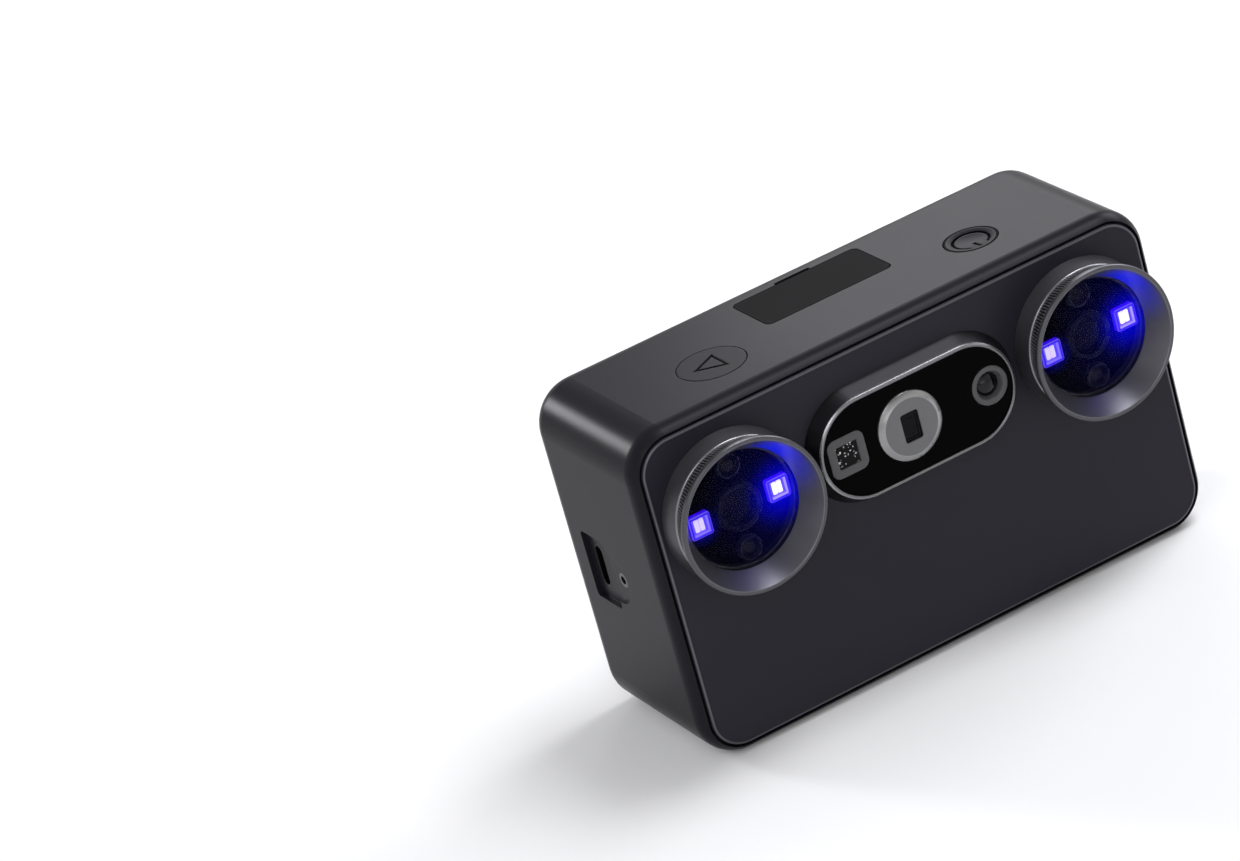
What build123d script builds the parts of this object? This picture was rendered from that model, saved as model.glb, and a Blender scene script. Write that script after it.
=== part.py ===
# Hand-held three-d scanner: a rounded box with two lens barrels in front, a display behind,
# two buttons on top, a battery door on one side and a tripod thread in the base.
# Millimetres. X runs across the front, the lenses look along -Y, Z is up.
# The origin is the mouth of the tripod thread, on the base plane.
import os
from math import cos, radians, sin
from build123d import *

os.makedirs("parts", exist_ok=True)

# Body: its width follows from the barrels and the window, below
body_height = 69.5
body_depth = 40.2
corner_radius = 8.8
edge_radius = 4.6
edge_lead = 1.0
wall = 2.8
lens_side_margin = 3.1
lens_top_margin = 5.1

# Front and rear plates, each set in the housing's rim behind a narrow groove
plate_thickness = 2.2
rim_inset = 1.45
groove_width = 0.5
plate_edge_round = 0.5

# Fits
slide_gap = 0.2
panel_gap = 0.15
door_gap = 0.25
seat_gap = 0.05
pin_gap = 0.03
rest_gap = 0.3

# Lens barrels: radii outwards from the hood's throat, lengths forwards from the glass
hood_throat_radius = 11.9
hood_lip = 0.75
hood_neck_wall = 0.85
hood_flare = 1.4
hood_flare_length = 3.0
hood_rim_wall = 0.85
hood_rim_width = 0.5
hood_seat_depth = 0.4
grip_ring_thickness = 0.55
grip_ring_width = 1.6
base_step = 0.8
base_flare = 0.9
base_foot_ledge = 2.6
under_glass_reach = 2.9
lens_glass_thickness = 0.7
spigot_wall = 1.2
spigot_depth = 5.2
sensor_board_thickness = 1.0
sensor_board_reach = 1.2
sensor_shelf = 1.2
camera_gap = 1.5
camera_rim = 1.4
emitter_size = 4.6
emitter_margin = 0.5
emitter_drop = 0.3
bead_radius = 2.55
bead_margin = 0.05
under_glass_gap = 0.15

# Window between the barrels: its length follows from the modules in it
window_width = 21.3
window_foot = 1.35
window_reach = 3.4
window_rim_width = 0.9
window_glass_thickness = 1.1
window_glass_drop = 0.4
window_ledge = 0.6
window_floor = 1.4
window_barrel_gap = 1.05
window_left_margin = 0.7
window_right_margin = 0.2
dot_frame_size = 8.2
dot_frame_round = 1.8
dot_window_size = 4.7
dot_laser_gap = 2.7
laser_radius = 7.0
laser_bevel = 0.8
laser_proud = 0.9
laser_window_width = 3.9
laser_window_height = 5.9
laser_window_round = 0.5
laser_camera_gap = 7.4
colour_ring_radius = 4.0
colour_ring_wall = 1.1
colour_lens_drop = 0.3
inlay_thickness = 0.8
inlay_drop = 0.2

# Display
screen_left_margin = 11.2
screen_right_margin = 11.6
screen_low_margin = 8.5
screen_top_margin = 7.6
screen_round = 2.2
screen_thickness = 1.2
screen_drop = 0.25
screen_ledge = 1.6
module_side_margin = 4.6
module_end_margin = 3.2
module_offset = 1.6
module_thickness = 2.6
scoop_top_margin = 10.2
scoop_length = 27.5
scoop_radius = 5.0
scoop_depth = 1.2

# Top buttons and the lift-off cover
button_spacing = 59.0
button_front_margin = 15.9
scan_radius = 6.8
power_radius = 5.35
button_flange = 0.9
button_flange_thickness = 1.0
button_travel = 0.7
mark_depth = 0.2
mark_line = 0.6
scan_mark_radius = 4.1
power_mark_radius = 3.6
power_mark_opening = 60.0
power_dish = 0.6
cover_length = 28.3
cover_width = 14.4
cover_rear_margin = 5.65
cover_thickness = 1.8
cover_round = 1.6
nail_notch_length = 8.0
nail_notch_width = 0.8
nail_notch_depth = 0.9
well_margin = 2.0
well_depth = 4.0
well_wall = 1.3
connector_length = 16.0
connector_width = 4.4
connector_height = 2.6
connector_slot = 1.2
button_board_width = 9.0
button_board_thickness = 1.2
tact_radius = 2.4
boss_radius = 2.0
boss_button_gap = 4.8

# Battery door, latch and battery
door_front_margin = 3.3
door_length = 24.5
door_panel_gap = 4.8
door_top_round = 3.5
door_thickness = 2.4
hinge_out = 4.7
hinge_down = 6.2
hinge_barrel_radius = 0.95
hinge_pin_radius = 0.5
hinge_pin_seat = 1.0
hinge_slot_width = 1.55
latch_offset = -0.45
latch_drop = 9.5
latch_recess_width = 8.4
latch_recess_height = 8.0
latch_recess_round = 1.0
latch_recess_depth = 1.2
latch_plate_height = 4.8
latch_plate_thickness = 0.7
latch_rib_height = 2.3
latch_stem_width = 3.0
latch_stem_height = 1.8
latch_bolt_width = 5.0
latch_bolt_thickness = 1.2
latch_travel = 1.4
bay_wall = 1.2
bay_mouth_inset = 5.0
bay_front_margin = 2.9
bay_rear_margin = 12.9
bay_lug_gap = 0.4
bay_lens_gap = 0.6
battery_gap = 0.3
battery_length = 36.0
contact_size = 2.4
contact_count = 3
contact_spacing = 6.0
contact_length = 2.5
rib_thickness = 2.0
rib_inboard = 8.0

# Switch panel
panel_front_margin = 2.8
panel_length = 25.5
panel_top_margin = 9.2
panel_height = 17.5
panel_round = 3.0
panel_thickness = 1.2
switch_offset = 0.65
switch_rise = 8.95
switch_slot_round = 1.3
switch_knob_width = 6.4
switch_knob_height = 2.2
switch_knob_round = 0.7
switch_knob_drop = 0.2
switch_knob_side_gap = 0.6
switch_travel = 2.1
switch_stem = 1.6
switch_body_margin = 2.8
switch_body_thickness = 3.0
microphone_y = 12.0
microphone_drop = 0.8
microphone_radius = 0.5

# Port pocket
pocket_rear_margin = 8.1
pocket_width = 10.0
pocket_height = 14.3
pocket_round = 1.0
pocket_depth = 1.1
round_pocket_offset = 5.5
round_pocket_radius = 5.4
round_pocket_depth = 0.6
port_offset = 1.4
port_length = 9.2
port_width = 3.4
port_shell = 0.35
port_depth = 7.0
port_tongue = 0.7
lock_offset = 7.8
lock_radius = 1.5
lock_wall = 0.6
lock_length = 1.6

# Base
tripod_y = 0.0
tripod_thread_radius = 3.175
tripod_insert_wall = 1.575
tripod_boss_wall = 1.5
tripod_mouth_chamfer = 0.15
tripod_length = 8.0
tripod_boss_floor = 1.2
base_panel_thickness = 1.0
base_panel_front_margin = 6.8
base_panel_rear_margin = 7.5
base_panel_side_margin = 11.0
base_panel_round = 1.5
side_panel_margin = 9.2
side_panel_width = 13.6
side_panel_vent_gap = 2.2
vent_width = 17.1
vent_panel_gap = 1.3
vent_frame = 1.6
vent_hole_radius = 0.42
vent_pitch = 1.3
mesh_side_margin = 0.3
mesh_front_margin = 1.8
mesh_rear_margin = 2.1
mesh_gap = 1.8
small_mesh_length = 5.5
screw_corner_inset = 1.2
screw_row_margin = 5.3
screw_head_radius = 1.15
screw_shank_radius = 0.7
screw_socket_radius = 0.55
screw_socket_depth = 0.4
screw_length = 6.5
lug_size = 5.6
lug_height = 6.0
strap_angle = 48.0
strap_y = -4.8
strap_notch_length = 9.0
strap_notch_width = 4.0
strap_notch_depth = 3.4
strap_pin_radius = 0.7
strap_block = 2.0

# Inside
bench_corner_reach = 2.8
bench_top_margin = 2.2
bench_drop = 9.7
bench_thickness = 2.0
bench_post_inset = 14.7
bench_post_margin = 2.6
post_radius = 2.2
board_side_margin = 2.2
board_low = 12.0
board_well_gap = 0.9
board_thickness = 1.6
board_post_inset = 2.5
board_post_margin = 3.5
board_post_length = 3.8
fan_margin = 0.7
fan_height = 6.0
fan_wall = 1.1
fan_tip_gap = 0.5
fan_hub_radius = 2.6
fan_blade_count = 7
fan_blade_thickness = 0.6
fan_arm = 1.4
fan_arm_thickness = 1.0
fan_axle_radius = 0.7
speaker_margin = 1.1
speaker_height = 4.4

# Barrel sizes that follow
hood_back_radius = hood_throat_radius + hood_lip
hood_seat_radius = hood_back_radius + seat_gap
hood_neck_radius = hood_back_radius + hood_neck_wall
grip_ring_radius = hood_neck_radius + grip_ring_thickness
hood_rim_radius = grip_ring_radius + hood_flare
hood_mouth_radius = hood_rim_radius - hood_rim_wall
base_top_radius = hood_neck_radius + base_step
base_foot_radius = base_top_radius + base_flare
spigot_radius = base_foot_radius - base_foot_ledge
sensor_bore_radius = spigot_radius - spigot_wall
lens_glass_reach = under_glass_reach + lens_glass_thickness
base_reach = lens_glass_reach + hood_seat_depth
hood_flare_start = base_reach + grip_ring_width
lens_reach = hood_flare_start + hood_flare_length
emitter_offset = sensor_bore_radius - emitter_margin - emitter_size / 2
emitter_height = under_glass_reach - sensor_board_reach - emitter_drop
bead_offset = sensor_bore_radius - bead_margin - bead_radius
camera_radius = emitter_offset - emitter_size / 2 - camera_gap
camera_glass_radius = camera_radius - camera_rim

# Window, lens spacing and body width that follow
tray_length = (window_left_margin + dot_frame_size + dot_laser_gap + 2 * laser_radius
               + laser_camera_gap + 2 * colour_ring_radius + window_right_margin)
tub_length = tray_length + 2 * window_ledge
tub_width = window_width - 2 * window_rim_width
window_length = tub_length + 2 * window_rim_width
dot_frame_x = -tray_length / 2 + window_left_margin + dot_frame_size / 2
laser_x = dot_frame_x + dot_frame_size / 2 + dot_laser_gap + laser_radius
colour_camera_x = laser_x + laser_radius + laser_camera_gap + colour_ring_radius
colour_lens_radius = colour_ring_radius - colour_ring_wall
lens_spacing = window_length + 2 * (window_foot + window_barrel_gap + base_foot_radius)
body_width = lens_spacing + 2 * (base_foot_radius + lens_side_margin)

# Faces and heights that follow
mid_y = lens_reach / 2
half_depth = body_depth / 2
front_y = mid_y - half_depth
rear_y = mid_y + half_depth
side_x = body_width / 2
mid_z = body_height / 2
inner_top = body_height - wall
plate_inset = rim_inset + groove_width
lens_height = body_height - lens_top_margin - base_foot_radius
well_floor = body_height - cover_thickness - well_depth
well_bottom = well_floor - well_wall
button_board_top = well_bottom - rest_gap
button_board_drop = inner_top - button_board_top

# Display places
screen_width = body_width - screen_left_margin - screen_right_margin
screen_height = body_height - screen_low_margin - screen_top_margin
screen_centre_x = (screen_left_margin - screen_right_margin) / 2
screen_centre_z = screen_low_margin + screen_height / 2
module_centre_x = screen_centre_x + module_offset
scoop_high = body_height - scoop_top_margin
scoop_low = scoop_high - scoop_length

# Top places
button_y = -half_depth + button_front_margin
boss_spacing = button_spacing - 2 * (scan_radius + button_flange + boss_radius + boss_button_gap)
cover_y = half_depth - cover_rear_margin - cover_width / 2

# Door side places
panel_front = -half_depth + panel_front_margin
panel_rear = panel_front + panel_length
panel_high = body_height - panel_top_margin
panel_low = panel_high - panel_height
switch_y = (panel_front + panel_rear) / 2 + switch_offset
switch_z = panel_low + switch_rise
switch_slot_width = switch_knob_width + 2 * switch_knob_side_gap
switch_slot_height = switch_knob_height + switch_travel + 3 * slide_gap
microphone_z = panel_low - microphone_drop
door_front = -half_depth + door_front_margin
door_rear = door_front + door_length
door_top = panel_low - door_panel_gap
hinge_x = side_x - corner_radius + hinge_out
hinge_z = corner_radius - hinge_down
latch_y = (door_front + door_rear) / 2 + latch_offset
latch_z = door_top - latch_drop
bay_mouth_x = side_x - bay_mouth_inset
bay_length = battery_length + rest_gap + contact_length + bay_wall
bay_front = -half_depth + bay_front_margin
bay_rear = half_depth - bay_rear_margin
bay_low = wall + rest_gap + lug_height + bay_lug_gap
bay_high = lens_height - spigot_radius - bay_lens_gap

# Port side places
port_z = mid_z
pocket_y = half_depth - pocket_rear_margin - pocket_width / 2
port_y = pocket_y + port_offset
round_pocket_y = pocket_y - round_pocket_offset
lock_y = pocket_y - lock_offset
lock_thread_radius = lock_radius - lock_wall

# Base places
tripod_radius = tripod_thread_radius + tripod_insert_wall
tripod_boss_radius = tripod_radius + tripod_boss_wall
base_panel_front = -half_depth + base_panel_front_margin
base_panel_rear = half_depth - base_panel_rear_margin
base_panel_length = base_panel_rear - base_panel_front
base_panel_right = side_x - base_panel_side_margin
side_panel_left = -side_x + side_panel_margin
side_panel_right = side_panel_left + side_panel_width
vent_left = side_panel_right + side_panel_vent_gap
vent_right = vent_left + vent_width
vent_middle_x = (vent_left + vent_right) / 2
base_panel_left = vent_right + vent_panel_gap
vent_opening_width = vent_width - 2 * vent_frame
vent_opening_length = base_panel_length - 2 * vent_frame
large_mesh_length = base_panel_length - mesh_front_margin - small_mesh_length - mesh_gap - mesh_rear_margin
large_mesh_y = base_panel_rear - mesh_rear_margin - large_mesh_length / 2
small_mesh_y = base_panel_front + mesh_front_margin + small_mesh_length / 2
large_mesh_rows = int(large_mesh_length / vent_pitch)
small_mesh_rows = int(small_mesh_length / vent_pitch)
mesh_columns = int((vent_opening_width - 2 * mesh_side_margin) / vent_pitch)
screw_spacing_x = body_width - 2 * (corner_radius + screw_corner_inset)
screw_spacing_y = body_depth - 2 * screw_row_margin
strap_x = -side_x + corner_radius * (1 - cos(radians(strap_angle)))
strap_z = corner_radius * (1 - sin(radians(strap_angle)))

# Inside places
bench_width = body_width - 2 * (corner_radius - bench_corner_reach)
bench_low = lens_height - bench_drop
bench_high = inner_top - bench_top_margin
bench_post_x = lens_spacing / 2 - bench_post_inset
board_width = body_width - 2 * (wall + board_side_margin)
board_high = well_bottom - board_well_gap
board_post_x = board_width / 2 - board_post_inset
fan_length = large_mesh_length + fan_margin
fan_bore_radius = min(vent_width, fan_length) / 2 - fan_wall
fan_blade_radius = fan_bore_radius - fan_tip_gap
speaker_length = small_mesh_length + speaker_margin


def front_plane(reach=0.0):
    """Looks out of the front: local x is X, local y is Z, reach is measured from the front plate's face."""
    return Plane((0, front_y - reach, 0), x_dir=(1, 0, 0), z_dir=(0, -1, 0))


def rear_plane(reach=0.0):
    """Looks out of the rear: local x is -X, local y is Z."""
    return Plane((0, rear_y + reach, 0), x_dir=(-1, 0, 0), z_dir=(0, 1, 0))


def door_plane(reach=0.0):
    """Looks out of the door's side: local x is Y from the body's middle, local y is Z."""
    return Plane((side_x + reach, mid_y, 0), x_dir=(0, 1, 0), z_dir=(1, 0, 0))


def port_plane(reach=0.0):
    """Looks out of the port's side: local x is -Y from the body's middle, local y is Z."""
    return Plane((-side_x - reach, mid_y, 0), x_dir=(0, -1, 0), z_dir=(-1, 0, 0))


def level(height):
    """A level plane over the body's middle: local x is X, local y is Y from the body's middle."""
    return Plane((0, mid_y, height), x_dir=(1, 0, 0), z_dir=(0, 0, 1))


def keep(builder, name):
    """Labels a finished piece and writes its file."""
    builder.part.label = name
    export_step(builder.part, f"parts/{name}.step")


def outer_form(inset=0.0):
    """The body's whole rounded box, drawn in by inset on every side."""
    depth = body_depth + 2 * edge_lead - 2 * inset
    with BuildPart() as form:
        with BuildSketch(Plane((0, mid_y + depth / 2, mid_z), x_dir=(1, 0, 0), z_dir=(0, -1, 0))):
            RectangleRounded(body_width - 2 * inset, body_height - 2 * inset, corner_radius - inset)
        extrude(amount=depth)
        fillet(form.faces().filter_by(Axis.Y).edges(), edge_radius - inset)
    return form.part


def door_region(gap, inner_x):
    """The space of the battery door, grown by gap, from inner_x outwards."""
    height = door_top + gap + wall
    with BuildPart() as region:
        with BuildSketch(door_plane(inner_x - side_x)) as outline:
            with Locations(((door_rear + door_front) / 2, height / 2 - wall)):
                Rectangle(door_length + 2 * gap, height)
            fillet(outline.vertices().group_by(Axis.Y)[-1], door_top_round + gap)
        extrude(amount=2 * wall + side_x - inner_x)
    return region.part


def panel_region(gap):
    """The space of the switch panel, grown by gap."""
    with BuildPart() as region:
        with BuildSketch(door_plane(-2 * wall)):
            with Locations(((panel_rear + panel_front) / 2, (panel_high + panel_low) / 2)):
                RectangleRounded(panel_length + 2 * gap, panel_height + 2 * gap, panel_round)
        extrude(amount=4 * wall)
    return region.part


def lens_section(x):
    """Half section of a barrel: local x is the radius, local y the reach from the front plate's face."""
    return Plane((x, front_y, lens_height), x_dir=(1, 0, 0), z_dir=(0, 0, -1))


def lens_axis(x):
    return Axis((x, front_y, lens_height), (0, -1, 0))


def turn(points, x):
    """Turns a closed half section round a barrel's axis."""
    with BuildPart() as turned:
        with BuildSketch(lens_section(x)):
            with BuildLine():
                Polyline(*points, close=True)
            make_face()
        revolve(axis=lens_axis(x))
    return turned


def base_outline(left, right, front, rear, gap):
    """A rounded rectangle on the base, grown by gap; front and rear are from the body's middle."""
    with Locations(((left + right) / 2, (front + rear) / 2)):
        RectangleRounded(right - left + 2 * gap, rear - front + 2 * gap, base_panel_round)


main_form = outer_form()
thin_door_form = outer_form(door_thickness)
thin_panel_form = outer_form(panel_thickness)
panel_shell = panel_region(panel_gap) - thin_panel_form
panel_block = panel_region(0)
door_opening = door_region(door_gap, hinge_x - hinge_slot_width)
door_block = door_region(0, hinge_x)

# Solid corner that the strap notch is cut into
with BuildPart() as strap_corner:
    with BuildSketch(level(0)):
        with Locations((-side_x + corner_radius / 2, strap_y)):
            Rectangle(corner_radius, strap_notch_length + 2 * strap_block)
    extrude(amount=corner_radius)
    add(main_form, mode=Mode.INTERSECT)

# Main housing
with BuildPart() as main_housing:
    add(main_form)
    with BuildSketch(rear_plane(wall)):
        with Locations((0, mid_z)):
            RectangleRounded(body_width - 2 * wall, body_height - 2 * wall, corner_radius - wall)
    extrude(amount=-(body_depth + 2 * wall), mode=Mode.SUBTRACT)
    for plane in (front_plane(-plate_thickness), rear_plane(-plate_thickness)):
        with BuildSketch(plane):
            with Locations((0, mid_z)):
                RectangleRounded(body_width - 2 * rim_inset, body_height - 2 * rim_inset,
                                 corner_radius - rim_inset)
        extrude(amount=plate_thickness + edge_lead, mode=Mode.SUBTRACT)

    # Boss of the tripod insert, ribs under the battery bay, block behind the strap notch
    with BuildSketch(Plane.XY):
        with Locations((0, tripod_y)):
            Circle(tripod_boss_radius)
    extrude(amount=tripod_length + tripod_boss_floor)
    with BuildSketch(level(wall)):
        rib_length = bay_rear - bay_front - 2 * lug_size
        for rib_x in (bay_mouth_x - rib_inboard, bay_mouth_x - bay_length + rib_inboard):
            with Locations((rib_x, (bay_front + bay_rear) / 2)):
                Rectangle(rib_thickness, rib_length)
    extrude(amount=bay_low - wall)
    add(strap_corner.part)

    # Well under the lift-off cover and the bosses that carry the button board
    with BuildSketch(level(inner_top)):
        with Locations((0, cover_y)):
            Rectangle(cover_length - 2 * (well_margin - well_wall),
                      cover_width - 2 * (well_margin - well_wall))
    extrude(amount=well_bottom - inner_top)
    with BuildSketch(level(inner_top)):
        with Locations((0, button_y)):
            with GridLocations(boss_spacing, 1, 2, 1):
                Circle(boss_radius)
    extrude(amount=-button_board_drop)

    # Openings in the top
    for button_x, radius in ((-button_spacing / 2, scan_radius), (button_spacing / 2, power_radius)):
        with BuildSketch(level(body_height)):
            with Locations((button_x, button_y)):
                Circle(radius + slide_gap)
        extrude(amount=-2 * wall, mode=Mode.SUBTRACT)
    with BuildSketch(level(body_height)):
        with Locations((0, cover_y)):
            RectangleRounded(cover_length + 2 * slide_gap, cover_width + 2 * slide_gap, cover_round)
    extrude(amount=-(cover_thickness + slide_gap), mode=Mode.SUBTRACT)
    with BuildSketch(level(body_height)):
        with Locations((0, cover_y + (cover_width + nail_notch_width) / 2)):
            Rectangle(nail_notch_length, nail_notch_width + 2 * slide_gap)
    extrude(amount=-nail_notch_depth, mode=Mode.SUBTRACT)
    with BuildSketch(level(body_height)):
        with Locations((0, cover_y)):
            Rectangle(cover_length - 2 * well_margin, cover_width - 2 * well_margin)
    extrude(amount=well_floor - body_height, mode=Mode.SUBTRACT)

    # Door opening with its hinge slot, pin holes, and the switch panel's seat
    add(door_opening, mode=Mode.SUBTRACT)
    with BuildSketch(Plane((hinge_x, mid_y + door_rear + hinge_pin_seat, hinge_z), z_dir=(0, -1, 0))):
        Circle(hinge_pin_radius + pin_gap)
    extrude(amount=door_length + 2 * hinge_pin_seat, mode=Mode.SUBTRACT)
    add(panel_shell, mode=Mode.SUBTRACT)
    with BuildSketch(door_plane()):
        with Locations((switch_y, switch_z)):
            RectangleRounded(switch_slot_width, switch_slot_height + switch_travel, switch_slot_round)
        with Locations((microphone_y, microphone_z)):
            Circle(microphone_radius)
    extrude(amount=-2 * wall, mode=Mode.SUBTRACT)

    # Port pocket, port slot and lock-screw hole
    with BuildSketch(port_plane()):
        with Locations((-pocket_y, port_z)):
            RectangleRounded(pocket_width, pocket_height, pocket_round)
    extrude(amount=-pocket_depth, mode=Mode.SUBTRACT)
    with BuildSketch(port_plane()):
        with Locations((-round_pocket_y, port_z)):
            Circle(round_pocket_radius)
    extrude(amount=-round_pocket_depth, mode=Mode.SUBTRACT)
    with BuildSketch(port_plane()):
        with Locations((-port_y, port_z)):
            SlotOverall(port_length + 2 * seat_gap, port_width + 2 * seat_gap, rotation=90)
    extrude(amount=-2 * wall, mode=Mode.SUBTRACT)
    with BuildSketch(port_plane(-round_pocket_depth)):
        with Locations((-lock_y, port_z)):
            Circle(lock_radius + seat_gap)
    extrude(amount=-lock_length, mode=Mode.SUBTRACT)

    # Base: tripod hole, panel seats, vent opening, screw holes, strap notch
    with BuildSketch(Plane.XY):
        with Locations((0, tripod_y)):
            Circle(tripod_radius + seat_gap)
    extrude(amount=tripod_length, mode=Mode.SUBTRACT)
    with BuildSketch(level(0)):
        base_outline(base_panel_left, base_panel_right, base_panel_front, base_panel_rear, panel_gap)
        base_outline(vent_left, vent_right, base_panel_front, base_panel_rear, panel_gap)
        base_outline(side_panel_left, side_panel_right, base_panel_front, base_panel_rear, panel_gap)
        with Locations((0, tripod_y - mid_y)):
            Circle(tripod_boss_radius, mode=Mode.SUBTRACT)
    extrude(amount=base_panel_thickness, mode=Mode.SUBTRACT)
    with BuildSketch(level(0)):
        with Locations((vent_middle_x, (base_panel_front + base_panel_rear) / 2)):
            Rectangle(vent_opening_width, vent_opening_length)
    extrude(amount=2 * wall, mode=Mode.SUBTRACT)
    with Locations(Plane((0, mid_y, 0), z_dir=(0, 0, -1))):
        with GridLocations(screw_spacing_x, screw_spacing_y, 2, 2):
            CounterSinkHole(screw_shank_radius + seat_gap, screw_head_radius + seat_gap, depth=2 * wall)
    strap_plane = Plane((strap_x, mid_y + strap_y, strap_z), x_dir=(0, 1, 0),
                        z_dir=(-cos(radians(strap_angle)), 0, -sin(radians(strap_angle))))
    with BuildSketch(strap_plane.offset(wall)):
        SlotOverall(strap_notch_length, strap_notch_width)
    extrude(amount=-(wall + strap_notch_depth), mode=Mode.SUBTRACT)
    strap_pin_place = strap_plane.offset(-strap_notch_depth / 2)
    strap_pin_length = strap_notch_length + strap_block
    with BuildSketch(Plane(strap_pin_place.origin - (0, strap_pin_length / 2, 0), z_dir=(0, 1, 0))):
        Circle(strap_pin_radius + seat_gap)
    extrude(amount=strap_pin_length, mode=Mode.SUBTRACT)
keep(main_housing, "main_housing")

# Pin across the strap notch
with BuildPart() as strap_pin:
    with BuildSketch(Plane(strap_pin_place.origin - (0, strap_pin_length / 2, 0), z_dir=(0, 1, 0))):
        Circle(strap_pin_radius)
    extrude(amount=strap_pin_length)
keep(strap_pin, "strap_pin")


def screw_lugs(inner_face, towards_rear):
    """Two blocks behind a plate's lower corners that take the base screws."""
    row_y = screw_spacing_y / 2 if towards_rear else -screw_spacing_y / 2
    reach = abs(inner_face - (mid_y + row_y)) + lug_size / 2
    with BuildPart() as lugs:
        with BuildSketch(level(wall + rest_gap)):
            middle = inner_face - mid_y - reach / 2 if towards_rear else inner_face - mid_y + reach / 2
            with Locations((0, middle)):
                with GridLocations(screw_spacing_x, 1, 2, 1):
                    Rectangle(lug_size, reach)
        extrude(amount=lug_height)
        with BuildSketch(level(0)):
            with Locations((0, row_y)):
                with GridLocations(screw_spacing_x, 1, 2, 1):
                    Circle(screw_shank_radius + seat_gap)
        extrude(amount=screw_length + seat_gap, mode=Mode.SUBTRACT)
    return lugs.part


front_lugs = screw_lugs(front_y + plate_thickness, False)
rear_lugs = screw_lugs(rear_y - plate_thickness, True)

# Front cover
with BuildPart() as front_cover:
    with BuildSketch(front_plane(-plate_thickness)):
        with Locations((0, mid_z)):
            RectangleRounded(body_width - 2 * plate_inset, body_height - 2 * plate_inset,
                             corner_radius - plate_inset)
    extrude(amount=plate_thickness)
    fillet(front_cover.faces().sort_by(Axis.Y)[0].edges(), plate_edge_round)
    with BuildSketch(front_plane()):
        with Locations((0, lens_height)):
            with GridLocations(lens_spacing, 1, 2, 1):
                Circle(spigot_radius + seat_gap)
            SlotOverall(tub_length + 2 * seat_gap, tub_width + 2 * seat_gap)
    extrude(amount=-plate_thickness, mode=Mode.SUBTRACT)
    with BuildSketch(front_plane(-plate_thickness)):
        with Locations((0, (bench_low + bench_high) / 2)):
            with GridLocations(2 * bench_post_x, bench_high - bench_low - 2 * bench_post_margin, 2, 2):
                Circle(post_radius)
    extrude(amount=-(spigot_depth - plate_thickness))
    add(front_lugs)
keep(front_cover, "front_cover")

# Rear bezel round the display, with a finger scoop in one upright edge
with BuildPart() as rear_bezel:
    with BuildSketch(rear_plane(-plate_thickness)):
        with Locations((0, mid_z)):
            RectangleRounded(body_width - 2 * plate_inset, body_height - 2 * plate_inset,
                             corner_radius - plate_inset)
    extrude(amount=plate_thickness)
    fillet(rear_bezel.faces().sort_by(Axis.Y)[-1].edges(), plate_edge_round)
    with BuildSketch(rear_plane()):
        with Locations((-screen_centre_x, screen_centre_z)):
            RectangleRounded(screen_width + 2 * seat_gap, screen_height + 2 * seat_gap, screen_round)
    extrude(amount=-(screen_drop + screen_thickness), mode=Mode.SUBTRACT)
    with BuildSketch(rear_plane()):
        with Locations((-screen_centre_x, screen_centre_z)):
            Rectangle(screen_width - 2 * screen_ledge, screen_height - 2 * screen_ledge)
    extrude(amount=-plate_thickness, mode=Mode.SUBTRACT)
    with BuildSketch(rear_plane(-plate_thickness)):
        with Locations((0, (board_low + board_high) / 2)):
            with GridLocations(2 * board_post_x, board_high - board_low - 2 * board_post_margin, 2, 2):
                Circle(post_radius)
    extrude(amount=-board_post_length)
    scoop_x = -side_x + plate_inset
    with BuildSketch(Plane((scoop_x, rear_y + scoop_radius - scoop_depth, scoop_low), z_dir=(0, 0, 1))):
        Circle(scoop_radius)
    extrude(amount=scoop_high - scoop_low, mode=Mode.SUBTRACT)
    add(rear_lugs)
keep(rear_bezel, "rear_bezel")

# Display glass and the module behind it
with BuildPart() as display_glass:
    with BuildSketch(rear_plane(-screen_drop)):
        with Locations((-screen_centre_x, screen_centre_z)):
            RectangleRounded(screen_width, screen_height, screen_round)
    extrude(amount=-screen_thickness)
keep(display_glass, "display_glass")

with BuildPart() as display_module:
    with BuildSketch(rear_plane(-screen_drop - screen_thickness)):
        with Locations((-module_centre_x, screen_centre_z)):
            Rectangle(screen_width - 2 * module_side_margin, screen_height - 2 * module_end_margin)
    extrude(amount=-module_thickness)
keep(display_module, "display_module")

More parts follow.
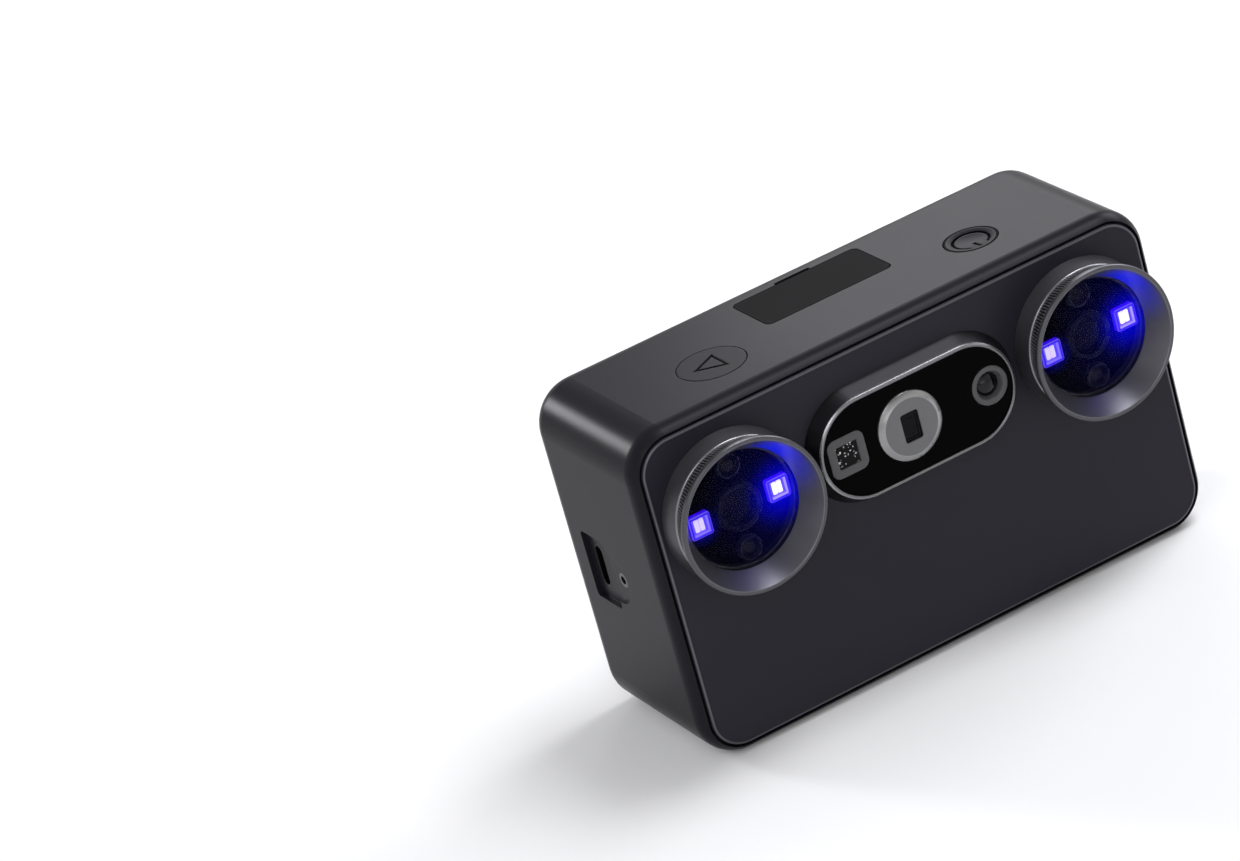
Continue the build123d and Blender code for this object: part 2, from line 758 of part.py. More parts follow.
# The two lens barrels
for side_name, lens_x in (("left", -lens_spacing / 2), ("right", lens_spacing / 2)):
    shelf_radius = sensor_bore_radius - sensor_shelf
    board_back = sensor_board_reach - sensor_board_thickness
    module_top = under_glass_reach - under_glass_gap

    lens_base = turn([(shelf_radius, -spigot_depth), (spigot_radius, -spigot_depth), (spigot_radius, 0),
                      (base_foot_radius, 0), (base_top_radius, base_reach), (hood_seat_radius, base_reach),
                      (hood_seat_radius, under_glass_reach), (sensor_bore_radius, under_glass_reach),
                      (sensor_bore_radius, board_back), (shelf_radius, board_back)], lens_x)
    keep(lens_base, f"lens_{side_name}_base")

    hood = turn([(hood_throat_radius, lens_glass_reach), (hood_back_radius, lens_glass_reach),
                 (hood_back_radius, base_reach), (hood_neck_radius, base_reach),
                 (hood_neck_radius, hood_flare_start), (grip_ring_radius, hood_flare_start),
                 (hood_rim_radius, lens_reach - hood_rim_width),
                 (hood_rim_radius - hood_rim_width, lens_reach),
                 (hood_mouth_radius, lens_reach)], lens_x)
    keep(hood, f"lens_{side_name}_hood")

    ring_bore = hood_neck_radius + seat_gap
    grip_ring = turn([(ring_bore, base_reach), (grip_ring_radius, base_reach),
                      (grip_ring_radius, hood_flare_start), (ring_bore, hood_flare_start)], lens_x)
    keep(grip_ring, f"lens_{side_name}_grip_ring")

    lens_glass = turn([(0, under_glass_reach), (hood_back_radius, under_glass_reach),
                       (hood_back_radius, lens_glass_reach), (0, lens_glass_reach)], lens_x)
    keep(lens_glass, f"lens_{side_name}_glass")

    board_radius = sensor_bore_radius - seat_gap
    sensor_board = turn([(0, board_back), (board_radius, board_back), (board_radius, sensor_board_reach),
                         (0, sensor_board_reach)], lens_x)
    keep(sensor_board, f"lens_{side_name}_sensor_board")

    camera = turn([(0, sensor_board_reach), (camera_radius, sensor_board_reach), (camera_radius, module_top),
                   (camera_glass_radius, module_top), (0, module_top - under_glass_gap)], lens_x)
    keep(camera, f"lens_{side_name}_camera")

    with BuildPart() as emitters:
        with BuildSketch(front_plane(sensor_board_reach)):
            with Locations((lens_x, lens_height)):
                with GridLocations(2 * emitter_offset, 1, 2, 1):
                    Rectangle(emitter_size, emitter_size)
        extrude(amount=emitter_height)
    keep(emitters, f"lens_{side_name}_emitters")

    with BuildPart() as beads:
        with BuildSketch(front_plane(sensor_board_reach)):
            with Locations((lens_x, lens_height)):
                with GridLocations(1, 2 * bead_offset, 1, 2):
                    Circle(bead_radius)
        extrude(amount=emitter_height)
        chamfer(beads.faces().sort_by(Axis.Y)[:2].edges(), under_glass_gap)
    keep(beads, f"lens_{side_name}_beads")

# Window between the barrels: a tray with a raised rim, the glass on its ledge, the modules on its floor
glass_top = window_reach - window_glass_drop
glass_back = glass_top - window_glass_thickness
tray_floor = window_floor - plate_thickness
window_taper = 90 - Vector(window_foot, window_reach).get_angle(Vector(1, 0))
with BuildPart() as window_rim:
    with BuildSketch(front_plane()):
        with Locations((0, lens_height)):
            SlotOverall(window_length + 2 * window_foot, window_width + 2 * window_foot)
    extrude(amount=window_reach, taper=window_taper)
    with BuildSketch(front_plane()):
        with Locations((0, lens_height)):
            SlotOverall(tub_length, tub_width)
    extrude(amount=-plate_thickness)
    with BuildSketch(front_plane(glass_back)):
        with Locations((0, lens_height)):
            SlotOverall(tub_length, tub_width)
    extrude(amount=window_reach, mode=Mode.SUBTRACT)
    with BuildSketch(front_plane(tray_floor)):
        with Locations((0, lens_height)):
            SlotOverall(tray_length, tub_width - 2 * window_ledge)
    extrude(amount=window_reach, mode=Mode.SUBTRACT)
keep(window_rim, "window_rim")

with BuildPart() as window_glass:
    with BuildSketch(front_plane(glass_back)):
        with Locations((0, lens_height)):
            SlotOverall(tub_length - 2 * seat_gap, tub_width - 2 * seat_gap)
        with Locations((dot_frame_x, lens_height)):
            RectangleRounded(dot_frame_size + 2 * seat_gap, dot_frame_size + 2 * seat_gap, dot_frame_round,
                             mode=Mode.SUBTRACT)
        with Locations((laser_x, lens_height)):
            Circle(laser_radius + seat_gap, mode=Mode.SUBTRACT)
        with Locations((colour_camera_x, lens_height)):
            Circle(colour_ring_radius + seat_gap, mode=Mode.SUBTRACT)
    extrude(amount=window_glass_thickness)
keep(window_glass, "window_glass")

module_height_in_tray = glass_top - tray_floor
with BuildPart() as dot_projector_frame:
    with BuildSketch(front_plane(tray_floor)):
        with Locations((dot_frame_x, lens_height)):
            RectangleRounded(dot_frame_size, dot_frame_size, dot_frame_round)
    extrude(amount=module_height_in_tray)
    with BuildSketch(front_plane(glass_top)):
        with Locations((dot_frame_x, lens_height)):
            Rectangle(dot_window_size, dot_window_size)
    extrude(amount=-(inlay_thickness + inlay_drop), mode=Mode.SUBTRACT)
keep(dot_projector_frame, "dot_projector_frame")

with BuildPart() as dot_projector_window:
    with BuildSketch(front_plane(glass_top - inlay_drop)):
        with Locations((dot_frame_x, lens_height)):
            Rectangle(dot_window_size - 2 * seat_gap, dot_window_size - 2 * seat_gap)
    extrude(amount=-inlay_thickness)
keep(dot_projector_window, "dot_projector_window")

laser_top = glass_top + laser_proud
with BuildPart() as laser_projector:
    with BuildSketch(front_plane(tray_floor)):
        with Locations((laser_x, lens_height)):
            Circle(laser_radius)
    extrude(amount=laser_top - tray_floor)
    chamfer(laser_projector.faces().sort_by(Axis.Y)[0].edges(), laser_bevel)
    with BuildSketch(front_plane(laser_top)):
        with Locations((laser_x, lens_height)):
            RectangleRounded(laser_window_width, laser_window_height, laser_window_round)
    extrude(amount=-(inlay_thickness + inlay_drop), mode=Mode.SUBTRACT)
keep(laser_projector, "laser_projector")

with BuildPart() as laser_window:
    with BuildSketch(front_plane(laser_top - inlay_drop)):
        with Locations((laser_x, lens_height)):
            RectangleRounded(laser_window_width - 2 * seat_gap, laser_window_height - 2 * seat_gap,
                             laser_window_round)
    extrude(amount=-inlay_thickness)
keep(laser_window, "laser_window")

with BuildPart() as colour_camera_ring:
    with BuildSketch(front_plane(tray_floor)):
        with Locations((colour_camera_x, lens_height)):
            Circle(colour_ring_radius)
    extrude(amount=module_height_in_tray)
    with BuildSketch(front_plane(glass_top)):
        with Locations((colour_camera_x, lens_height)):
            Circle(colour_lens_radius)
    extrude(amount=-(inlay_thickness + colour_lens_drop), mode=Mode.SUBTRACT)
keep(colour_camera_ring, "colour_camera_ring")

with BuildPart() as colour_camera_lens:
    with BuildSketch(front_plane(glass_top - colour_lens_drop)):
        with Locations((colour_camera_x, lens_height)):
            Circle(colour_lens_radius - seat_gap)
    extrude(amount=-inlay_thickness)
    fillet(colour_camera_lens.faces().sort_by(Axis.Y)[0].edges(), inlay_thickness / 2)
keep(colour_camera_lens, "colour_camera_lens")

# Scan button: flat, with an engraved triangle
button_height = wall + rest_gap
with BuildPart() as scan_button:
    with BuildSketch(level(body_height)):
        with Locations((-button_spacing / 2, button_y)):
            Circle(scan_radius)
    extrude(amount=-button_height)
    with BuildSketch(level(body_height - button_height)):
        with Locations((-button_spacing / 2, button_y)):
            Circle(scan_radius + button_flange)
    extrude(amount=-button_flange_thickness)
    with BuildSketch(level(body_height)):
        with Locations((-button_spacing / 2, button_y)):
            RegularPolygon(scan_mark_radius, 3, rotation=180)
            RegularPolygon(scan_mark_radius - 2 * mark_line, 3, rotation=180, mode=Mode.SUBTRACT)
    extrude(amount=-mark_depth, mode=Mode.SUBTRACT)
keep(scan_button, "scan_button")

# Power button: dished, with an engraved power mark whose bar points to the front
dish_half_width = power_radius - mark_line
dish_radius = (dish_half_width ** 2 + power_dish ** 2) / (2 * power_dish)
with BuildPart() as power_button:
    with BuildSketch(level(body_height)):
        with Locations((button_spacing / 2, button_y)):
            Circle(power_radius)
    extrude(amount=-button_height)
    with BuildSketch(level(body_height - button_height)):
        with Locations((button_spacing / 2, button_y)):
            Circle(power_radius + button_flange)
    extrude(amount=-button_flange_thickness)
    with Locations((button_spacing / 2, mid_y + button_y, body_height - power_dish + dish_radius)):
        Sphere(dish_radius, mode=Mode.SUBTRACT)
    with BuildSketch(level(body_height)):
        with Locations((button_spacing / 2, button_y)):
            Circle(power_mark_radius + mark_line / 2)
            Circle(power_mark_radius - mark_line / 2, mode=Mode.SUBTRACT)
            with Locations((0, -power_mark_radius)):
                Rectangle(2 * power_mark_radius * sin(radians(power_mark_opening / 2)), power_mark_radius,
                          mode=Mode.SUBTRACT)
            with Locations((0, -power_mark_radius / 2 - mark_line)):
                Rectangle(mark_line, power_mark_radius - mark_line)
    extrude(amount=-(power_dish + mark_depth), mode=Mode.SUBTRACT)
keep(power_button, "power_button")

# Board and tactile switches under the buttons
with BuildPart() as button_board:
    with BuildSketch(level(button_board_top)):
        with Locations((0, button_y)):
            Rectangle(button_spacing + button_board_width, button_board_width)
    extrude(amount=-button_board_thickness)
keep(button_board, "button_board")

tact_height = button_board_drop - rest_gap - button_flange_thickness - button_travel - slide_gap
with BuildPart() as tact_switches:
    with BuildSketch(level(button_board_top)):
        with Locations((0, button_y)):
            with GridLocations(button_spacing, 1, 2, 1):
                Circle(tact_radius)
    extrude(amount=tact_height)
keep(tact_switches, "tact_switches")

# Lift-off accessory cover and the connector in the well under it
with BuildPart() as accessory_cover:
    with BuildSketch(level(body_height)):
        with Locations((0, cover_y)):
            RectangleRounded(cover_length, cover_width, cover_round)
    extrude(amount=-cover_thickness)
keep(accessory_cover, "accessory_cover")

with BuildPart() as accessory_connector:
    with BuildSketch(level(well_floor)):
        with Locations((0, cover_y)):
            SlotOverall(connector_length, connector_width)
    extrude(amount=connector_height)
    with BuildSketch(level(well_floor + connector_height)):
        with Locations((0, cover_y)):
            SlotOverall(connector_length - connector_width, connector_slot)
    extrude(amount=-connector_height / 2, mode=Mode.SUBTRACT)
keep(accessory_connector, "accessory_connector")

# Battery door with its hinge barrel and latch recess
barrel_plane = Plane((hinge_x, mid_y + door_rear, hinge_z), z_dir=(0, -1, 0))
with BuildPart() as battery_door:
    add(door_block)
    add(main_form, mode=Mode.INTERSECT)
    add(thin_door_form, mode=Mode.SUBTRACT)
    with BuildSketch(barrel_plane.offset(rest_gap)):
        Circle(hinge_barrel_radius)
    extrude(amount=door_length - 2 * rest_gap)
    with BuildSketch(barrel_plane):
        Circle(hinge_pin_radius + pin_gap)
    extrude(amount=door_length, mode=Mode.SUBTRACT)
    with BuildSketch(door_plane()):
        with Locations((latch_y, latch_z)):
            RectangleRounded(latch_recess_width, latch_recess_height, latch_recess_round)
    extrude(amount=-latch_recess_depth, mode=Mode.SUBTRACT)
    with BuildSketch(door_plane()):
        with Locations((latch_y, latch_z + latch_travel / 2)):
            Rectangle(latch_stem_width + 2 * slide_gap, latch_stem_height + 2 * slide_gap + latch_travel)
    extrude(amount=-2 * door_thickness, mode=Mode.SUBTRACT)
keep(battery_door, "battery_door")

with BuildPart() as door_hinge_pin:
    with BuildSketch(barrel_plane.offset(-hinge_pin_seat)):
        Circle(hinge_pin_radius)
    extrude(amount=door_length + 2 * hinge_pin_seat)
keep(door_hinge_pin, "door_hinge_pin")

# Latch: thumb plate with a rib in the recess, stem through the door, bolt behind it
bolt_face = -wall - slide_gap
with BuildPart() as door_latch:
    with BuildSketch(door_plane(-latch_recess_depth + slide_gap)):
        with Locations((latch_y, latch_z)):
            RectangleRounded(latch_recess_width - 2 * slide_gap, latch_plate_height,
                             latch_recess_round - slide_gap)
    extrude(amount=latch_plate_thickness)
    with BuildSketch(door_plane(-latch_recess_depth + slide_gap)):
        with Locations((latch_y, latch_z)):
            Rectangle(latch_recess_width - 2 * slide_gap, latch_rib_height)
    extrude(amount=latch_recess_depth - slide_gap)
    with BuildSketch(door_plane(-latch_recess_depth + slide_gap)):
        with Locations((latch_y, latch_z)):
            Rectangle(latch_stem_width, latch_stem_height)
    extrude(amount=-(wall + 2 * slide_gap - latch_recess_depth))
    bolt_bottom = latch_z - latch_stem_height / 2
    bolt_height = door_top - rest_gap - bolt_bottom
    with BuildSketch(door_plane(bolt_face)):
        with Locations((latch_y, bolt_bottom + bolt_height / 2)):
            Rectangle(latch_bolt_width, bolt_height)
    extrude(amount=-latch_bolt_thickness)
keep(door_latch, "door_latch")

# Battery bay, open towards the door, with the contacts and the pack in it
bay_end_x = bay_mouth_x - bay_length
with BuildPart() as battery_bay:
    with BuildSketch(door_plane(bay_mouth_x - side_x)):
        with Locations(((bay_front + bay_rear) / 2, (bay_low + bay_high) / 2)):
            Rectangle(bay_rear - bay_front, bay_high - bay_low)
    extrude(amount=-bay_length)
    with BuildSketch(door_plane(bay_mouth_x - side_x)):
        with Locations(((bay_front + bay_rear) / 2, (bay_low + bay_high) / 2)):
            Rectangle(bay_rear - bay_front - 2 * bay_wall, bay_high - bay_low - 2 * bay_wall)
    extrude(amount=-(bay_length - bay_wall), mode=Mode.SUBTRACT)
keep(battery_bay, "battery_bay")

battery_end_x = bay_mouth_x - rest_gap
with BuildPart() as battery_pack:
    with BuildSketch(door_plane(battery_end_x - side_x)):
        with Locations(((bay_front + bay_rear) / 2, (bay_low + bay_high) / 2)):
            RectangleRounded(bay_rear - bay_front - 2 * bay_wall - 2 * battery_gap,
                             bay_high - bay_low - 2 * bay_wall - 2 * battery_gap, bay_wall)
    extrude(amount=-battery_length)
keep(battery_pack, "battery_pack")

with BuildPart() as battery_contacts:
    with BuildSketch(door_plane(bay_end_x + bay_wall - side_x)):
        with Locations(((bay_front + bay_rear) / 2, (bay_low + bay_high) / 2)):
            with GridLocations(contact_spacing, 1, contact_count, 1):
                Rectangle(contact_size, contact_size)
    extrude(amount=contact_length)
keep(battery_contacts, "battery_contacts")

# Switch panel, knob and the switch behind them
with BuildPart() as switch_panel:
    add(panel_block)
    add(main_form, mode=Mode.INTERSECT)
    add(thin_panel_form, mode=Mode.SUBTRACT)
    with BuildSketch(door_plane()):
        with Locations((switch_y, switch_z)):
            RectangleRounded(switch_slot_width, switch_slot_height, switch_slot_round)
    extrude(amount=-2 * panel_thickness, mode=Mode.SUBTRACT)
keep(switch_panel, "switch_panel")

knob_z = switch_z + (switch_slot_height - switch_knob_height) / 2 - slide_gap
with BuildPart() as mode_switch:
    with BuildSketch(door_plane(-switch_knob_drop)):
        with Locations((switch_y, knob_z)):
            RectangleRounded(switch_knob_width, switch_knob_height, switch_knob_round)
    extrude(amount=-(panel_thickness - switch_knob_drop + slide_gap))
    with BuildSketch(door_plane(-switch_knob_drop)):
        with Locations((switch_y, knob_z)):
            Rectangle(switch_stem, switch_stem)
    extrude(amount=-(wall - switch_knob_drop + switch_body_thickness / 2))
keep(mode_switch, "mode_switch")

with BuildPart() as switch_body:
    with BuildSketch(door_plane(-wall)):
        with Locations((switch_y, switch_z)):
            Rectangle(switch_slot_width + 2 * switch_body_margin, switch_slot_height + 2 * switch_body_margin)
    extrude(amount=-switch_body_thickness)
    with BuildSketch(door_plane(-wall)):
        with Locations((switch_y, knob_z - switch_travel / 2)):
            Rectangle(switch_stem + 2 * slide_gap, switch_stem + switch_travel + 2 * slide_gap)
    extrude(amount=-(switch_body_thickness / 2 + slide_gap), mode=Mode.SUBTRACT)
keep(switch_body, "switch_body")

# Port receptacle and lock-screw insert
with BuildPart() as port_receptacle:
    with BuildSketch(port_plane(-pocket_depth)):
        with Locations((-port_y, port_z)):
            SlotOverall(port_length, port_width, rotation=90)
    extrude(amount=-port_depth)
    with BuildSketch(port_plane(-pocket_depth)):
        with Locations((-port_y, port_z)):
            SlotOverall(port_length - 2 * port_shell, port_width - 2 * port_shell, rotation=90)
    extrude(amount=-(port_depth - port_shell), mode=Mode.SUBTRACT)
    with BuildSketch(port_plane(-pocket_depth - port_depth)):
        with Locations((-port_y, port_z)):
            Rectangle(port_tongue, port_length - port_width)
    extrude(amount=port_depth - port_tongue)
keep(port_receptacle, "port_receptacle")

with BuildPart() as lock_insert:
    with BuildSketch(port_plane(-round_pocket_depth)):
        with Locations((-lock_y, port_z)):
            Circle(lock_radius)
            Circle(lock_thread_radius, mode=Mode.SUBTRACT)
    extrude(amount=-lock_length)
keep(lock_insert, "lock_insert")

# Base panels, vent grille, tripod insert and screws
with BuildPart() as base_panel:
    with BuildSketch(level(0)):
        base_outline(base_panel_left, base_panel_right, base_panel_front, base_panel_rear, 0)
        with Locations((0, tripod_y - mid_y)):
            Circle(tripod_boss_radius + panel_gap, mode=Mode.SUBTRACT)
    extrude(amount=base_panel_thickness)
keep(base_panel, "base_panel")

with BuildPart() as base_side_panel:
    with BuildSketch(level(0)):
        base_outline(side_panel_left, side_panel_right, base_panel_front, base_panel_rear, 0)
    extrude(amount=base_panel_thickness)
keep(base_side_panel, "base_side_panel")

with BuildPart() as vent_grille:
    with BuildSketch(level(0)):
        base_outline(vent_left, vent_right, base_panel_front, base_panel_rear, 0)
        for mesh_y, rows in ((large_mesh_y, large_mesh_rows), (small_mesh_y, small_mesh_rows)):
            with Locations((vent_middle_x, mesh_y)):
                with GridLocations(vent_pitch, vent_pitch, mesh_columns, rows):
                    Circle(vent_hole_radius, mode=Mode.SUBTRACT)
    extrude(amount=base_panel_thickness)
keep(vent_grille, "vent_grille")

with BuildPart() as tripod_insert:
    with BuildSketch(Plane.XY):
        with Locations((0, tripod_y)):
            Circle(tripod_radius)
            Circle(tripod_thread_radius, mode=Mode.SUBTRACT)
    extrude(amount=tripod_length)
    mouth = tripod_insert.faces().sort_by(Axis.Z)[0].inner_wires()
    chamfer(mouth.edges(), tripod_mouth_chamfer)
keep(tripod_insert, "tripod_insert")

with BuildPart() as base_screws:
    with BuildSketch(level(0)):
        with GridLocations(screw_spacing_x, screw_spacing_y, 2, 2):
            Circle(screw_shank_radius)
    extrude(amount=screw_length)
    head_height = screw_head_radius - screw_shank_radius
    with BuildSketch(level(0)):
        with GridLocations(screw_spacing_x, screw_spacing_y, 2, 2):
            Circle(screw_head_radius)
    extrude(amount=head_height, taper=45)
    with BuildSketch(level(0)):
        with GridLocations(screw_spacing_x, screw_spacing_y, 2, 2):
            RegularPolygon(screw_socket_radius, 6)
    extrude(amount=screw_socket_depth, mode=Mode.SUBTRACT)
keep(base_screws, "base_screws")

# Optical bench behind the front cover, main board on the rear bezel's posts
with BuildPart() as optical_bench:
    with BuildSketch(front_plane(-spigot_depth)):
        with Locations((0, (bench_low + bench_high) / 2)):
            Rectangle(bench_width, bench_high - bench_low)
    extrude(amount=-bench_thickness)
keep(optical_bench, "optical_bench")

with BuildPart() as main_board:
    with BuildSketch(rear_plane(-plate_thickness - board_post_length)):
        with Locations((0, (board_low + board_high) / 2)):
            Rectangle(board_width, board_high - board_low)
    extrude(amount=-board_thickness)
keep(main_board, "main_board")

# Cooling fan over the large mesh: frame with a cross of arms and an axle, and the rotor under it
fan_top = wall + fan_height
fan_axis = (vent_middle_x, large_mesh_y)
with BuildPart() as fan_frame:
    with BuildSketch(level(wall)):
        with Locations(fan_axis):
            Rectangle(vent_width, fan_length)
            Circle(fan_bore_radius, mode=Mode.SUBTRACT)
    extrude(amount=fan_height)
    with BuildSketch(level(fan_top)):
        with Locations(fan_axis):
            Rectangle(2 * fan_bore_radius + fan_arm, fan_arm)
            Rectangle(fan_arm, 2 * fan_bore_radius + fan_arm)
            Circle(fan_hub_radius)
    extrude(amount=-fan_arm_thickness)
    with BuildSketch(level(fan_top)):
        with Locations(fan_axis):
            Circle(fan_axle_radius)
    extrude(amount=-(fan_height - rest_gap))
keep(fan_frame, "fan_frame")

rotor_top = fan_top - fan_arm_thickness - rest_gap
with BuildPart() as fan_rotor:
    with BuildSketch(level(wall + rest_gap)):
        with Locations(fan_axis):
            Circle(fan_hub_radius)
            with PolarLocations(fan_blade_radius / 2, fan_blade_count):
                Rectangle(fan_blade_radius, fan_blade_thickness)
            Circle(fan_axle_radius + seat_gap, mode=Mode.SUBTRACT)
    extrude(amount=rotor_top - wall - rest_gap)
keep(fan_rotor, "fan_rotor")

# Speaker over the small mesh
with BuildPart() as speaker:
    with BuildSketch(level(wall)):
        with Locations((vent_middle_x, small_mesh_y)):
            Rectangle(vent_width, speaker_length)
    extrude(amount=speaker_height)
keep(speaker, "speaker")
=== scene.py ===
# Looks of the hand-held three-d scanner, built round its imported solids.
# Sizes are millimetres until a mesh is made; the lenses look along -Y and the base stands on Z = 0.
import math

import bpy
import numpy as np
from mathutils import Matrix, Vector


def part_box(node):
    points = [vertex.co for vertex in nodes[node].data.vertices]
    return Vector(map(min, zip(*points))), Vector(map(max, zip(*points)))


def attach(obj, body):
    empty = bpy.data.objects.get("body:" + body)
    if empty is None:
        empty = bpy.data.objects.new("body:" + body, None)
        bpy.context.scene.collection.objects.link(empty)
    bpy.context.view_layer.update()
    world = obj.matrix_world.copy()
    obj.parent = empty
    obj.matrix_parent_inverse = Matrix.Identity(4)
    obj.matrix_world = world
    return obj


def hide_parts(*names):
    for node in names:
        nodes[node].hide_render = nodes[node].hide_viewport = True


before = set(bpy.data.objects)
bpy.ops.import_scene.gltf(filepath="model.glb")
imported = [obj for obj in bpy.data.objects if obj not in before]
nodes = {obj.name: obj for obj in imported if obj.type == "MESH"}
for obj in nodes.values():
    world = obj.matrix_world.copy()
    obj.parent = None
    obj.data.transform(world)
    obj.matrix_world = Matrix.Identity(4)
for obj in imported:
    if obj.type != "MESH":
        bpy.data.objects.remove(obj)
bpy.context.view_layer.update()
MM = 0.001
FULL_TURN = 2 * math.pi
BODY = "scanner_body"
BOTH_WAYS = (-1, 1)

# Body sizes
FRONT_Y = -15.8
MID_Y = 4.3
SIDE_X = 58.0
TOP_Z = 69.5
PLATE_HALF_WIDTH = 56.05
PLATE_HALF_HEIGHT = 32.8
PLATE_ROUND = 6.85

# Top button sizes; what lies deeper than the mark depth under a button's face is its engraved mark
BUTTON_X = 29.5
BUTTON_Y = 0.1
SCAN_RADIUS = 6.8
POWER_DISH = 0.6
DISH_HALF_WIDTH = 4.75
MARK_DEPTH = 0.05

# Display sizes
SCREEN_X = 1.4
SCREEN_Z = 35.3
SCREEN_HALF_WIDTH = 38.1
SCREEN_HALF_HEIGHT = 21.2
SCREEN_BLUR = 0.1

# Barrel sizes, as radius from the barrel's axis and reach from the front plate
LENS_X = 39.7
LENS_Z = 49.2
SPIGOT_BORE = 10.2
SPIGOT_RADIUS = 12.6
SPIGOT_DEPTH = 5.2
FOOT_RADIUS = 15.2
FOOT_DRAFT = 0.12
FOOT_REACH = 0.5
BASE_RADIUS = 14.3
BASE_REACH = 4.0
SEAT_RADIUS = 12.7
SENSOR_BORE = 11.4
BOARD_BACK = 0.2
BOARD_REACH = 1.2
GLASS_RADIUS = 12.65
GLASS_BACK = 2.9
GLASS_REACH = 3.6
THROAT_RADIUS = 11.9
THROAT_STEP = 0.12
NECK_RADIUS = 13.5
NECK_FLARE = 0.1
NECK_END = 5.3
SHOULDER_RADIUS = 14.45
BAND_RADIUS = 13.85
BAND_END = 7.15
BAND_END_RADIUS = 14.7
BAND_COLLAR = 0.25
BAND_GAP = 0.02
LIP_RADIUS = 15.45
LIP_START = 7.75
LIP_END = 8.3
LIP_BEVEL = 0.2
MOUTH_RADIUS = 14.55
LENS_REACH = 8.6
RIB_COUNT = 150
RIB_DEPTH = 0.34
RIB_LEAN = 0.12
EMITTER_OFFSET = 8.6
EMITTER_SIZE = 4.6
EMITTER_ROUND = 0.45
LAMP_TOP = 2.6
WELL_FLOOR = 1.65
DIE_OFFSET = 0.54
DIE_SIZE = (0.9, 2.5)
DIE_ROUND = 0.12
BEAD_OFFSET = 8.8
BEAD_RADIUS = 2.55
BEAD_TOP = 2.6
CAMERA_RADIUS = 4.8
CAMERA_TOP = 2.75

# Window sizes
WINDOW_LENGTH = 44.2
WINDOW_WIDTH = 21.3
WINDOW_FOOT = 1.35
WINDOW_REACH = 3.4
RIM_WIDTH = 0.9
RIM_BACK = -2.2
RIM_LEDGE = 0.6
RIM_WALL = 1.4
PANE_TOP = 3.0
PANE_BACK = 1.9
TRAY_FLOOR = -0.8
DOT_X = -15.8
DOT_SIZE = 8.2
DOT_ROUND = 1.8
LASER_X = -2.0
LASER_RADIUS = 7.0
LASER_FACE = 5.7
LASER_TOP = 3.9
LASER_HOLE = (3.9, 5.9)
LASER_PANE = (3.8, 5.8)
LASER_PANE_BACK = 2.9
COLOUR_X = 16.4
COLOUR_RADIUS = 4.0
COLOUR_LENS_BACK = 1.72
COLOUR_LENS_EDGE = 1.85
COLOUR_LENS_RADIUS = 2.4
COLOUR_LENS_RISE = 0.85

# A turned section stops this far from its axis and closes on itself there
AXIS_RADIUS = 0.02

# Angles in degrees above which an edge stays crisp
SHARP = 32.0
SHARP_FACET = 15.0
SHARP_THREAD = 40.0
SHARP_DOME = 50.0

# Tone and gloss of the moulded shell, and the grain of moulded plastic
SHELL_TONE = (0.0125, 0.0118, 0.0155)
SHELL_GLOSS = 0.055
SATIN_GLOSS = 0.27
PLATE_GLOSS = 0.15
DRIFT_SIZE = 24.0
DRIFT_SHARE = 0.7
GRAIN_SIZE = 0.35
GRAIN_DEPTH = 0.006
GRAIN_STRENGTH = 0.35
GRAIN_SWING = 0.1
EASED_EDGE = 0.12

# Insets from a plate's outline at which its band, painted lighter as a highlight line round the plate, and
# its shoulder start, are full, fall and end
PLATE_HIGHLIGHT_BAND = (0.1, 0.25, 0.45, 0.65)
PLATE_SHOULDER = (0.6, 0.8, 0.95, 1.3)

# Insets from a lamp's outline at which the painted highlight on the lip of its well starts, is full, falls
# and ends
LAMP_LIP_HIGHLIGHT = (0.5, 0.62, 0.7, 0.82)


# Surfaces

def rounded_outline(width, height, radius, steps=16):
    """Closed outline of a rounded rectangle: four corner centres, each plus radius times a quarter turn."""
    quarter = np.linspace(0, math.pi / 2, steps + 1)
    angles = quarter[None, :] + np.arange(4)[:, None] * math.pi / 2
    corners = np.array([[1, 1], [-1, 1], [-1, -1], [1, -1]])
    centres = corners * [width / 2 - radius, height / 2 - radius]
    ring = np.stack([np.cos(angles), np.sin(angles)], -1) * radius
    return (centres[:, None, :] + ring).reshape(-1, 2)


def soften(points, radius, steps=3):
    """Rounds every corner of a closed polygon: each corner P becomes the curve
    (1-t)^2 A + 2t(1-t) P + t^2 B, where A and B lie radius back along its two edges,
    with one more point a tenth further out on each edge to keep its straight run flat.
    radius is one number or one for each corner, and never more than 0.45 of an edge."""
    corner = np.asarray(points, float)
    back = np.roll(corner, 1, 0) - corner
    ahead = np.roll(corner, -1, 0) - corner
    back_length = np.linalg.norm(back, axis=1, keepdims=True)
    ahead_length = np.linalg.norm(ahead, axis=1, keepdims=True)
    wanted = np.broadcast_to(radius, len(corner))[:, None]
    to_start = back / back_length * np.minimum(wanted, 0.45 * back_length)
    to_end = ahead / ahead_length * np.minimum(wanted, 0.45 * ahead_length)
    t = np.linspace(0, 1, steps + 1)[None, :, None]
    curve = corner[:, None] + (1 - t) ** 2 * to_start[:, None] + t ** 2 * to_end[:, None]
    before = (corner + 1.1 * to_start)[:, None]
    after = (corner + 1.1 * to_end)[:, None]
    return np.concatenate([before, curve, after], 1).reshape(-1, 2)


def full_turn(steps):
    """Angles once round, without the last one, which would repeat the first."""
    return np.linspace(0, FULL_TURN, steps, endpoint=False)


def on_front(u, v, reach):
    """Points in front of the front plate: u is X, v is Z, reach runs along -Y from the plate's face."""
    u, v, reach = np.broadcast_arrays(u, v, reach)
    return np.stack([u, FRONT_Y - reach, v], -1)


def on_base(u, v, height):
    """Points over the base: u is X, v is Y, height is Z."""
    return np.stack(np.broadcast_arrays(u, v, height), -1)


def on_door_side(u, v, reach):
    """Points on the door's side: u is Y, v is Z, reach runs along +X from the side's face."""
    u, v, reach = np.broadcast_arrays(u, v, reach)
    return np.stack([SIDE_X + reach, u, v], -1)


